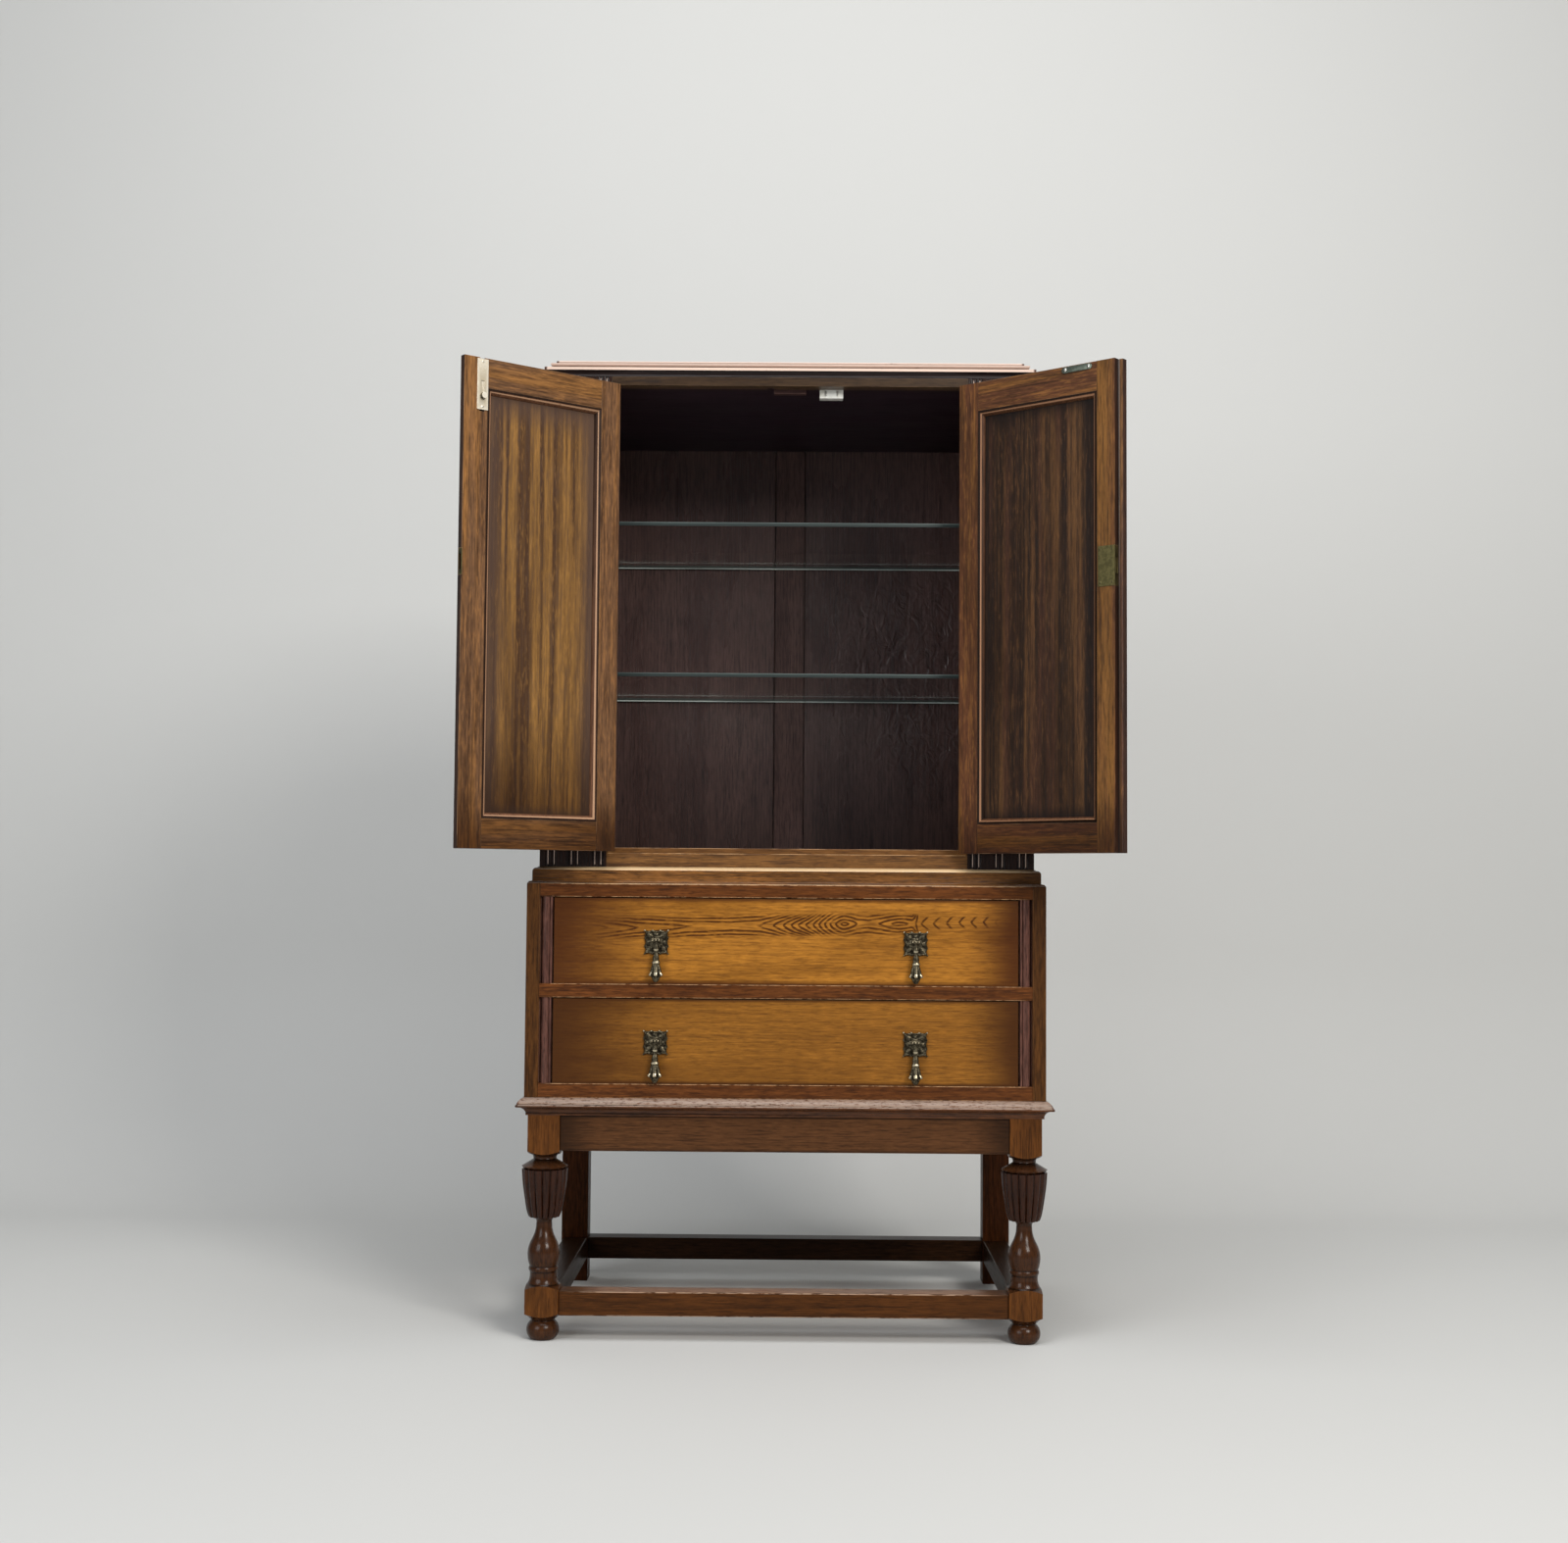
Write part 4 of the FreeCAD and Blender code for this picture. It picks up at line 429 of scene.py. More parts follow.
@dataclass(frozen=True)
class Wood(Finish):
    """Stained and polished oak, with rings, streaks and pores, rubbed arrises and painted highlights,
    and dirt and painted shade in hollows.
    """

    light: Colour = (0.2, 0.1, 0.05, 1.0)
    dark: Colour = (0.08, 0.04, 0.02, 1.0)
    rim: Colour = (0.05, 0.02, 0.015, 1.0)
    wear_and_highlight_tone: Colour = (0.4, 0.28, 0.2, 1.0)
    stain: Colour | None = None
    figure: Figure = Figure.STRAIGHT
    ring: float = 0.0055
    contrast: float = 0.6
    streak: float = 0.6
    fleck: float = 0.45
    pore: float = 0.5
    rim_start: float = 0.0
    rim_end: float = 0.0
    rim_across: float = 0.0
    rim_depth: float = 0.8
    ragged: float = 0.7
    dim_from: float = 0.0
    dim_to: float = 0.0
    wear: float = 0.4
    patch: float = 16.0
    coverage: float = 0.45
    rough: float = 0.32
    specular: float = 0.2
    length: float = 0.656
    width: float = 0.12

    def _bands(self, grain: Field, span: Span) -> Scalar:
        """The figure of the board.

        Args:
            grain: Place along, across and through the grain, in metres.
            span: Place in the board, each from 0 to 1.

        Returns:
            How dark the wood is, from 0 to 1.
        """
        if self.figure is Figure.RIBBON:
            return (grain.noise(RIBBON_BROAD).step(0.43, 0.56) * 0.66
                    + grain.noise(RIBBON_FINE).step(0.40, 0.60) * 0.34)
        if self.figure is Figure.CATHEDRAL:
            return self._cathedral(grain, span)
        _, across, through = grain.parts()
        drift = grain.noise(RING_DRIFT) - 0.5
        phase = (across + through * 0.5 + drift * 0.02) * (math.tau / self.ring)
        ring = phase.sine() * 0.5 + 0.5
        return ring * 0.55 * grain.noise(RING_FADE).step(0.38, 0.62) + drift.size() * 1.1

    def _rings(self, place: Scalar, rise: Scalar) -> Scalar:
        """How many growth rings lie between a spot and the middle of the cathedral figure.

        Args:
            place: Place along the board, from 0 to 1.
            rise: Distance from the figure's middle line, in metres.

        Returns:
            The number of rings, which isn't whole.
        """
        graph = place.graph
        depth = graph.curve(place, CATHEDRAL_RINGS) * CATHEDRAL_MOST_RINGS
        turns = rise / (CATHEDRAL_RING * (place.step(0.53, 0.61) * 0.75 + 1.0))
        radius = (turns.size() ** CATHEDRAL_POINT + depth ** CATHEDRAL_POINT) ** (1.0 / CATHEDRAL_POINT)
        bows = (place - CHEVRON_START) * CHEVRON_COUNT - turns.size() ** 1.25 * 0.20
        return graph.choose(place.step(*CHEVRON_CHANGE), radius, bows)

    def _cathedral(self, grain: Field, span: Span) -> Scalar:
        """A narrow band of thin nested arches on quiet, straight grain.

        Args:
            grain: Place along, across and through the grain, in metres.
            span: Place in the board, each from 0 to 1.

        Returns:
            How dark the wood is, from 0 to 1.
        """
        wave = grain.noise(ARCH_WAVE) - 0.5
        place = span[0] + wave * 0.008
        line = span[0] * CATHEDRAL_TILT + CATHEDRAL_LINE
        rise = (span[1] - line) * self.width + wave * 0.0035
        here = self._rings(place, rise)
        beside = self._rings(place + CATHEDRAL_STEP / self.length, rise) - here
        above = self._rings(place, rise + CATHEDRAL_STEP) - here
        slope = ((beside * beside + above * above) ** 0.5) / CATHEDRAL_STEP
        arch = ((here.fraction() - 0.5).size() / slope).step(*CATHEDRAL_LINE_EDGE)
        reach = CATHEDRAL_HALF_BAND * (1.0 - place.step(*CHEVRON_NARROWING) * 0.45)
        band = (rise.size() / reach).step(*CATHEDRAL_BAND_EDGE)
        ends = span[0].step(*CATHEDRAL_START) * span[0].step(*CATHEDRAL_END)
        quiet = grain.noise(QUIET_GRAIN).step(0.42, 0.66)
        patchy = grain.noise(ARCH_BREAKS).step(0.30, 0.55)
        middle = (rise.size() / CATHEDRAL_HALF_BAND).step(0.34, 0.10)
        smudge = grain.noise(ARCH_SPOTS).step(0.55, 0.66) * middle * 0.45
        return ((arch * (patchy * 0.4 + 0.6)).most(smudge) * band * ends).most(quiet * 0.22)

    def _edge(self, span: Span, blotch: Scalar) -> Scalar:
        """How far the wood darkens towards the board's ends and sides.

        Args:
            span: Place in the board, each from 0 to 1.
            blotch: Noise that makes the line of the darkening ragged.

        Returns:
            The darkening, from 0 to 1.
        """
        start = span[0] / max(self.rim_start, 1e-4)
        end = (1.0 - span[0]) / max(self.rim_end, 1e-4)
        near_side = span[1].least(1.0 - span[1]) / max(self.rim_across, 1e-4)
        shift = (blotch - 0.5) * self.ragged
        inside = (start.least(end) + shift).step(0.0, 1.0) * (near_side + shift).step(0.0, 1.0)
        return (1.0 - inside) * self.rim_depth

    def _wear_and_highlight_share(self, grain: Field, start: Scalar) -> Scalar:
        """How far the polish is rubbed off or a highlight is painted, from 0 to 1.

        Args:
            grain: Place along, across and through the grain, in metres.
            start: Place along the board, from 0 to 1.

        Returns:
            The share of rubbed polish and painted highlight: patchy, on arrises and the faces marked for
            highlights alone, and none at the joints at the board's ends.
        """
        chips = grain.noise(grained(self.patch, self.patch * 4.0, 3.0, 0.7))
        middle = CHIP_MIDDLE - self.coverage * 0.5
        chips = chips.step(middle - CHIP_SOFTNESS, middle + CHIP_SOFTNESS)
        free = (start.step(JOINT_CLEAR, max(JOINT_FADE, self.rim_start))
                * start.step(1.0 - JOINT_CLEAR, 1.0 - max(JOINT_FADE, self.rim_end)))
        return grain.graph.share("wear") * chips * free * self.wear

    def make(self, graph: Graph) -> Material:
        """Build the wood.

        Args:
            graph: An empty graph.

        Returns:
            The finished material.
        """
        grain = graph.attribute("grain")
        span = graph.attribute("span").parts()
        streaks, flecks = grain.noise(STREAKS), grain.noise(FLECKS)
        fibre, blotch = grain.noise(FIBRE), grain.noise(BLOTCHES)
        pores = fibre.step(*OPEN_PORE)
        pale = brighter(self.light, 1.9)
        light = self.light
        if self.stain:
            light = graph.blend(grain.noise(STAIN_CLOUDS).step(*STAINED_CLOUD), self.light, self.stain)
        colour = graph.blend(self._bands(grain, span) * (self.contrast * 1.3), light, self.dark)
        colour = graph.blend(streaks.step(*PALE_STREAK) * self.streak * 0.35, colour, pale)
        colour = graph.blend(streaks.step(*DARK_STREAK) * self.streak * 0.8, colour, self.dark)
        colour = graph.blend(flecks.step(*PALE_FLECK) * self.fleck * 0.7, colour, pale)
        colour = graph.blend(flecks.step(*DARK_FLECK) * self.fleck, colour, self.rim)
        colour = graph.blend(pores * self.pore, colour, self.rim)
        colour = graph.blend(blotch.step(*DARK_BLOTCH) * 0.4, colour, self.dark)
        if self.rim_start or self.rim_end or self.rim_across:
            colour = graph.blend(self._edge(span, blotch), colour, self.rim)
        # Painted shade: darker towards the bottom, below dim_to.
        if self.dim_to > self.dim_from:
            low = graph.here().parts()[2] + (blotch - 0.5) * 0.08
            colour = graph.blend(low.step(self.dim_to, self.dim_from) * 0.8, colour, DIM_SHADE,
                                 "MULTIPLY")
        # Dirt and painted shade in concave mouldings, inner corners and joints.
        colour = graph.blend(graph.share("hollow_dirt_and_shade") * 0.9, colour, self.rim)
        # Rubbed polish on arrises, and painted highlights on the faces marked for them.
        colour = graph.blend(self._wear_and_highlight_share(grain, span[0]), colour, self.wear_and_highlight_tone)
        normal = graph.bump(fibre * 0.4 - pores * 0.6, FIBRE_DEPTH, 0.5)
        if self.figure is Figure.RIPPLE:
            x, _, z = graph.here().parts()
            right = x.step(0.04, 0.09) * (z - 1.0).size().step(0.26, 0.06)
            normal = graph.bump(graph.here().noise(RIPPLES) * (right * 0.9 + 0.1), RIPPLE_DEPTH)
        return graph.close({
            "Base Color": colour,
            "Roughness": self.rough + (blotch - 0.5) * 0.14 + pores * 0.08,
            "Specular IOR Level": self.specular,
            "Normal": normal,
        })


@dataclass(frozen=True)
class Metal(Finish):
    """Old metal: bright on its high points and where highlights are painted, dull and dark in its
    hollows.
    """

    bright: Colour = (0.5, 0.42, 0.3, 1.0)
    dull: Colour = (0.12, 0.1, 0.07, 1.0)
    rough: float = 0.34
    tarnish: float = 0.5
    scale: float = 240.0
    brushed: float = 0.0

    def make(self, graph: Graph) -> Material:
        """Build the metal.

        Args:
            graph: An empty graph.

        Returns:
            The finished material.
        """
        spots = graph.here().noise(even(self.scale, 4.0, 0.65))
        lines = graph.here().noise(BRUSHING)
        dirt = spots.step(0.34, 0.68) * self.tarnish
        colour = graph.blend(dirt, self.bright, self.dull)
        colour = graph.blend(graph.share("hollow_dirt_and_shade") * 0.9, colour, self.dull)
        # Rubbed high points and arrises, and on the drops painted highlights.
        colour = graph.blend(graph.share("wear") * 0.6, colour, self.bright)
        return graph.close({
            "Base Color": colour,
            "Metallic": 1.0,
            "Roughness": self.rough + dirt * 0.25 + (lines - 0.5) * self.brushed,
            "Normal": graph.bump(spots + lines * self.brushed, 0.0001, 0.6),
        })


@dataclass(frozen=True)
class Glass(Finish):
    """Clear float glass, faintly green, with a thin film of dust."""

    tint: Colour = (0.86, 0.94, 0.90, 1.0)
    dusty: Colour = (0.6, 0.7, 0.66, 1.0)
    cover: float = 0.20

    def make(self, graph: Graph) -> Material:
        """Build the glass.

        Args:
            graph: An empty graph.

        Returns:
            The finished material.
        """
        film = graph.here().noise(DUST)
        return graph.close({
            "Base Color": graph.blend(film.step(0.45, 0.8) * 0.2, self.tint, self.dusty),
            "Roughness": film * 0.05 + 0.02,
            "Transmission Weight": 1.0,
            "IOR": 1.5,
            "Alpha": film * 0.08 + self.cover,
        })


@dataclass(frozen=True)
class GlassEdge(Finish):
    """The ground edge of a glass shelf, grey-green, with a painted pale line where it gathers light."""

    shade: Colour = (0.016, 0.024, 0.023, 1.0)
    shine: Colour = (0.050, 0.070, 0.064, 1.0)
    line_low: float = 0.62
    line_high: float = 0.95

    def make(self, graph: Graph) -> Material:
        """Build the edge.

        Args:
            graph: An empty graph.

        Returns:
            The finished material.
        """
        up = graph.attribute("span").parts()[2]
        middle = (self.line_low + self.line_high) / 2
        half = (self.line_high - self.line_low) / 2
        line = ((up - middle).size() / half).step(1.2, 0.5)
        cloud = graph.here().noise(EDGE_CLOUDS).step(0.2, 0.62)
        grit = graph.here().noise(GRIT)
        return graph.close({
            "Base Color": graph.blend(line * (cloud * 0.6 + 0.4), self.shade, self.shine),
            "Roughness": grit * 0.2 + 0.25,
            "Normal": graph.bump(grit, 0.00004, 0.5),
        })


@dataclass(frozen=True)
class Plastic(Finish):
    """Moulded plastic, a little yellowed."""

    fresh: Colour = (0.7, 0.7, 0.68, 1.0)
    aged: Colour = (0.55, 0.52, 0.44, 1.0)

    def make(self, graph: Graph) -> Material:
        """Build the plastic.

        Args:
            graph: An empty graph.

        Returns:
            The finished material.
        """
        grime = graph.here().noise(GRIME)
        return graph.close({
            "Base Color": graph.blend(grime.step(0.4, 0.75) * 0.6, self.fresh, self.aged),
            "Roughness": grime * 0.2 + 0.32,
            "Normal": graph.bump(grime, 0.00005, 0.4),
        })


@dataclass(frozen=True)
class Plain(Finish):
    """The studio's matt paper, seen from its front only."""

    colour: Colour = (0.7, 0.7, 0.7, 1.0)

    def make(self, graph: Graph) -> Material:
        """Build the paper.

        Args:
            graph: An empty graph.

        Returns:
            The finished material.
        """
        cloud = graph.here().noise(PAPER_CLOUDS)
        return graph.close({
            "Base Color": graph.blend(cloud, self.colour, brighter(self.colour, 1.03)),
            "Roughness": 0.9,
            "Specular IOR Level": 0.1,
            "Alpha": graph.facing(),
        })


def oak(name: str, *colours: tuple[int, int, int], **look: Any) -> Wood:
    """An oak from its screen colours: light, dark, rim, the colour of rubbed polish and painted
    highlights, and, where there is one, stain.
    """
    return Wood(f"oak_{name}", *(tone(*colour) for colour in colours), **look)


DOOR_LOOK = dict(ring=0.005, rim_across=0.05, rim_depth=0.4, streak=0.85, fleck=0.34, dim_from=0.69,
                 dim_to=0.78)
PANEL_LOOK = dict(figure=Figure.RIBBON, contrast=0.85, rim_depth=0.9, fleck=0.3, pore=0.4)
BEAD_LOOK = dict(rough=0.5, specular=0.12, fleck=0.3, wear=0.9, coverage=0.95)
DRAWER_LOOK = dict(rim_start=0.3, rim_depth=0.92, ragged=0.5, fleck=0.34, pore=0.3, rough=0.36,
                   specular=0.12)
TURNED_LOOK = dict(ring=0.012, rough=0.2, wear=0.3, fleck=0.3, contrast=0.3, streak=0.3)
REAR_LOOK = dict(ring=0.006, wear=0.1, specular=0.05)
MOULDING_LOOK = dict(rough=0.24, specular=0.25)
DOOR_OAK = oak("door_frame", (138, 95, 52), (66, 42, 24), (34, 21, 14), (184, 140, 100), (112, 80, 55),
               **DOOR_LOOK)
# The right door's oaks are darker than the left's: painted shade, the right door standing in less light.
SHADED_RIGHT_DOOR_OAK = oak("right_door_frame", (124, 84, 41), (56, 36, 20), (28, 17, 10), (184, 140, 100),
                     (94, 58, 38), **DOOR_LOOK)
# The doors' edge faces: darker oak as painted shade, with rubbed arrises.
SHADED_DOOR_EDGE_OAK = oak("door_edges", (62, 38, 26), (30, 18, 13), (14, 8, 7), (190, 156, 120), wear=0.6,
                    coverage=0.8)
LEFT_PANEL_OAK = oak("left_panel", (138, 100, 53), (70, 48, 32), (80, 62, 53), (150, 110, 76),
                     **PANEL_LOOK, rim_start=0.04, rim_end=0.09, rim_across=0.22, streak=0.7,
                     dim_from=0.69, dim_to=0.9)
# Darker than the left panel: painted shade.
SHADED_RIGHT_PANEL_OAK = oak("right_panel", (88, 60, 35), (38, 25, 17), (22, 15, 13), (150, 110, 76),
                      (66, 42, 30), **PANEL_LOOK, rim_start=0.05, rim_end=0.06, rim_across=0.16,
                      streak=0.5)
# The beadings' pale fourth colour paints the highlight along their crests.
LEFT_BEAD_OAK = oak("left_beading", (112, 76, 54), (76, 48, 34), (20, 12, 9), (178, 140, 110),
                    **BEAD_LOOK)
# Darker than the left beading: painted shade.
SHADED_RIGHT_BEAD_OAK = oak("right_beading", (92, 60, 40), (60, 38, 26), (18, 11, 8), (152, 112, 84),
                     **BEAD_LOOK)
UPPER_DRAWER_OAK = oak("upper_drawer", (164, 108, 38), (74, 40, 10), (66, 32, 12), (180, 136, 86),
                       **DRAWER_LOOK, figure=Figure.CATHEDRAL, contrast=0.92, rim_end=0.13,
                       rim_across=0.06, streak=0.16)
LOWER_DRAWER_OAK = oak("lower_drawer", (138, 90, 32), (90, 54, 18), (60, 31, 11), (180, 136, 86),
                       **DRAWER_LOOK, ring=0.011, contrast=0.3, rim_end=0.14, rim_across=0.05,
                       streak=0.2)
CARCASS_OAK = oak("carcass", (112, 70, 31), (58, 33, 15), (26, 14, 7), (150, 106, 68), ring=0.005,
                  rim_across=0.1, rim_start=0.02, rim_end=0.02, rim_depth=0.5, specular=0.1,
                  rough=0.42, wear=0.3)
RAIL_OAK = oak("rails", (130, 76, 35), (70, 37, 16), (40, 19, 9), (206, 162, 118), ring=0.006,
               wear=0.8, rim_across=0.1, rim_start=0.04, rim_end=0.04, rim_depth=0.5, patch=110.0,
               specular=0.12, fleck=0.5)
FRAME_OAK = oak("cupboard_rail", (156, 108, 58), (90, 58, 32), (50, 32, 21), (206, 164, 116),
                ring=0.006, wear=0.6, rim_across=0.2, rim_depth=0.5)
# Darker copy of the rail oak for the upper rail: painted shade from the cornice.
SHADED_TOP_RAIL_OAK = oak("top_rail", (92, 70, 48), (52, 37, 26), (24, 15, 12), (130, 104, 80), ring=0.006,
                   wear=0.3, rim_across=0.12, rim_depth=0.6)
APRON_OAK = oak("front_apron", (88, 56, 32), (52, 32, 18), (22, 13, 8), (150, 110, 80), ring=0.009,
                contrast=0.4, rim_start=0.1, rim_end=0.1, rim_across=0.1, rim_depth=0.7, streak=0.2,
                fleck=0.3, specular=0.1)
# Its pale fourth colour on the top faces is rubbed polish and a painted highlight.
MOULDING_OAK = oak("mouldings", (98, 58, 32), (48, 28, 16), (14, 8, 6), (164, 143, 128),
                   **MOULDING_LOOK, wear=0.7, coverage=0.55, patch=110.0)
# Its pale fourth colour paints highlights on the fillet, the bead and the top board's edges.
CORNICE_OAK = oak("cornice", (92, 64, 54), (50, 33, 28), (10, 6, 6), (226, 200, 184), **MOULDING_LOOK,
                  wear=0.9, coverage=0.85, patch=34.0)
# Near-black oak for the cove under the fillet: painted shadow.
COVE_SHADOW_OAK = oak("cove", (34, 22, 20), (18, 12, 11), (8, 5, 5), (60, 42, 36))
STRIP_OAK = oak("reeded_strips", (102, 68, 58), (56, 34, 29), (10, 6, 5), (186, 148, 128), wear=0.7,
                coverage=0.7, rough=0.26, specular=0.18)
# Its pale fourth colour paints the highlights on the reeds.
PILASTER_OAK = oak("pilasters", (44, 29, 24), (24, 16, 13), (6, 4, 4), (186, 162, 148), wear=0.9,
                   coverage=0.85, rough=0.2, specular=0.25)
# Its pale fourth colour paints the highlight on the moulding's upper edge.
WAIST_OAK = oak("waist_moulding", (126, 82, 40), (62, 38, 18), (22, 12, 7), (222, 190, 146),
                **MOULDING_LOOK, wear=0.9, coverage=0.9, patch=30.0, rim_start=0.14, rim_end=0.1,
                rim_depth=0.7)
LEG_OAK = oak("turned_legs", (67, 39, 20), (35, 19, 11), (6, 3, 2), (130, 90, 60), **TURNED_LOOK)
# Darker copy of the leg oak for the reeded cups: painted shade.
SHADED_CUP_OAK = oak("leg_cups", (54, 28, 15), (28, 14, 8), (5, 3, 2), (120, 80, 54), **TURNED_LOOK)
LEG_BLOCK_OAK = oak("leg_blocks", (103, 61, 25), (56, 31, 13), (20, 11, 5), (140, 96, 62), ring=0.007,
                    wear=0.2, specular=0.1, streak=0.3, fleck=0.3, contrast=0.4, rim_across=0.2,
                    rim_depth=0.6)
# Darker oaks for the rear legs and the side and rear framing: painted shade under the chest.
SHADED_REAR_LEG_OAK = oak("rear_legs", (58, 29, 11), (32, 16, 6), (12, 6, 3), (90, 60, 40), **REAR_LOOK)
SHADED_REAR_OAK = oak("rear_stand", (42, 24, 12), (23, 13, 6), (9, 6, 3), (90, 60, 40), **REAR_LOOK)
STRETCHER_OAK = oak("front_stretcher", (119, 70, 29), (60, 35, 15), (28, 16, 8), (196, 164, 138),
                    ring=0.006, wear=0.6, patch=60.0, coverage=0.5, rim_across=0.2, rim_start=0.12,
                    rim_end=0.12, rim_depth=0.6, specular=0.1, fleck=0.3, contrast=0.4)
INTERIOR_OAK = oak("interior", (80, 56, 52), (46, 31, 31), (18, 11, 11), (110, 84, 76), contrast=0.5,
                   rough=0.36, streak=0.5, fleck=0.3)
# Darker copy of the interior oak for the ceiling: painted shade.
SHADED_CEILING_OAK = oak("ceiling", (48, 33, 42), (27, 18, 26), (12, 8, 12), (80, 60, 54), contrast=0.5,
                  rough=0.4, streak=0.4, specular=0.16, fleck=0.3)
# Its near-black rim along the sides paints the shade in the gaps beside it.
MUNTIN_OAK = oak("muntin", (94, 72, 68), (56, 41, 40), (4, 3, 3), (110, 84, 76), contrast=0.5,
                 rough=0.34, streak=0.5, rim_across=0.07, rim_depth=1.0, ragged=0.1, fleck=0.3)
RIPPLE_OAK = oak("rippled_back", (92, 70, 66), (52, 38, 38), (22, 14, 15), (110, 84, 76),
                 figure=Figure.RIPPLE, contrast=0.4, rough=0.28, streak=0.5, specular=0.45, fleck=0.3,
                 dim_from=0.6, dim_to=0.88)
DRAWER_BOX_OAK = oak("drawer_boxes", (164, 122, 80), (118, 82, 50), (70, 46, 28), (186, 150, 110),
                     contrast=0.5, rough=0.6)
BRONZE = Metal("bronze_pulls", tone(104, 96, 78), tone(24, 20, 15), 0.34, 0.95, 420.0)
# Bright bronze for the pulls' raised points and their painted glints.
BRONZE_RUBBED_AND_GLINTS = Metal("bronze_rubbed_points_and_painted_glints", tone(196, 184, 156), tone(110, 98, 76), 0.30, 0.4, 420.0)
BRASS = Metal("brass_fittings", tone(112, 104, 68), tone(62, 60, 40), 0.42, 0.6, 160.0, 0.12)
STEEL = Metal("steel_fittings", tone(116, 124, 112), tone(72, 78, 70), 0.42, 0.5, 160.0, 0.12)
BRIGHT_STEEL = Metal("steel_screws", tone(226, 224, 216), tone(130, 128, 120), 0.26, 0.3, 300.0)
NICKEL = Metal("nickel_bolt", tone(244, 236, 220), tone(186, 174, 150), 0.46, 0.5, 180.0, 0.1)
SHELF_GLASS = Glass("glass_shelves")
GLASS_EDGE = GlassEdge("glass_ground_edges")
# The back edges: a bright painted line for light gathered in the glass.
GLASS_BACK_EDGE = GlassEdge("glass_back_edges", tone(52, 64, 60), tone(232, 246, 240), 0.08, 0.40)
# The dark of the screw slots: dirt and painted shade.
SLOT_DIRT_AND_SHADE = Plastic("slot_dirt_and_painted_shade", tone(34, 28, 22), tone(20, 16, 13))
CATCH_PLASTIC = Plastic("plastic_catch", tone(226, 226, 220), tone(186, 180, 160))
PAPER = Plain("studio_paper", tone(206, 206, 204))


# Meshes

def islands(mesh: Mesh) -> list[list[Vert]]:
    """Split a mesh into its separate solids.

    Args:
        mesh: The mesh.

    Returns:
        The vertices of each solid.
    """
    left = set(mesh.verts)
    found = []
    while left:
        seed = next(vert for vert in mesh.verts if vert in left)
        left.discard(seed)
        group = [seed]
        for vert in group:
            for edge in vert.link_edges:
                other = edge.other_vert(vert)
                if other in left:
                    left.discard(other)
                    group.append(other)
        found.append(group)
    return found


def lay_grain(mesh: Mesh, name: str, turn: float) -> None:
    """Give every solid its own grain coordinates, along its longest side.

    Args:
        mesh: The mesh, whose vertices get the layers "grain" and "span".
        name: The piece's name, which settles where in the wood each solid is cut.
        turn: How far the boards are turned about the upright axis, in radians.
    """
    grain = mesh.verts.layers.float_vector.new("grain")
    span = mesh.verts.layers.float_vector.new("span")
    turned = Matrix.Rotation(turn, 3, "Z")
    axes = [turned @ Vector((1, 0, 0)), turned @ Vector((0, 1, 0)), Vector((0, 0, 1))]
    for index, group in enumerate(islands(mesh)):
        limits = []
        for axis in axes:
            values = [vert.co.dot(axis) for vert in group]
            limits.append((max(values) - min(values), min(values), axis))
        limits.sort(key=lambda item: -item[0])
        dice = random.Random(f"{name}_{index}")
        shift = Vector((dice.uniform(0, 7), dice.uniform(0, 3), dice.uniform(0, 3)))
        for vert in group:
            places = [vert.co.dot(axis) - low for _, low, axis in limits]
            vert[grain] = Vector(places) + shift
            vert[span] = Vector([place / max(size, WELD_DISTANCE)
                                 for place, (size, _, _) in zip(places, limits)])


def mark_hollows(mesh: Mesh) -> None:
    """Mark vertices in concave mouldings and inner corners, where dirt and old polish gather and where
    shade is painted.

    Args:
        mesh: The mesh, whose vertices get the layer "hollow".
    """
    layer = mesh.verts.layers.float.new("hollow_dirt_and_shade")
    broad = set()
    for face in mesh.faces:
        area = face.calc_area()
        if area > HOLLOW_FACE_AREA and 2 * area / face.calc_perimeter() > HOLLOW_FACE_WIDTH:
            broad.update(face.verts)
    for edge in mesh.edges:
        if len(edge.link_faces) == 2 and not edge.is_convex:
            bend = abs(edge.calc_face_angle(0.0))
            depth = limited((bend - HOLLOW_START) / (HOLLOW_FULL - HOLLOW_START))
            for vert in edge.verts:
                if vert not in broad:
                    vert[layer] = max(vert[layer], depth)


def round_arrises(mesh: Mesh, width: float) -> None:
    """Soften the sharp edges, and mark the narrow faces that this makes for rubbed polish and painted
    highlights.

    Args:
        mesh: The mesh, whose faces get the layer "wear".
        width: How far from the edge the softening reaches, in metres.
    """
    layer = mesh.faces.layers.float.new("wear")
    if not width:
        return
    sharp = [edge for edge in mesh.edges if len(edge.link_faces) == 2 and edge.is_convex
             and abs(edge.calc_face_angle(0.0)) > ARRIS_ANGLE]
    made = bmesh.ops.bevel(mesh, geom=sharp, offset=width, offset_type="OFFSET", segments=2,
                           profile=0.5, affect="EDGES", clamp_overlap=True, material=-1)
    for face in made["faces"]:
        face[layer] = 1.0


def finish_mesh(mesh: Mesh, name: str, finishes: Sequence[Finish]) -> Piece:
    """Turn a bmesh into an object at the origin, smooth with crisp corners.

    Args:
        mesh: The mesh; it is freed.
        name: The object's name.
        finishes: Its materials, in the order of the faces' material numbers.

    Returns:
        The object, linked to the scene.
    """
    data = bpy.data.meshes.new(name)
    mesh.to_mesh(data)
    mesh.free()
    for polygon in data.polygons:
        polygon.use_smooth = True
    data.set_sharp_from_angle(angle=SMOOTH_ANGLE)
    for finish in finishes:
        data.materials.append(finish.material())
    made = bpy.data.objects.new(name, data)
    bpy.context.scene.collection.objects.link(made)
    return made


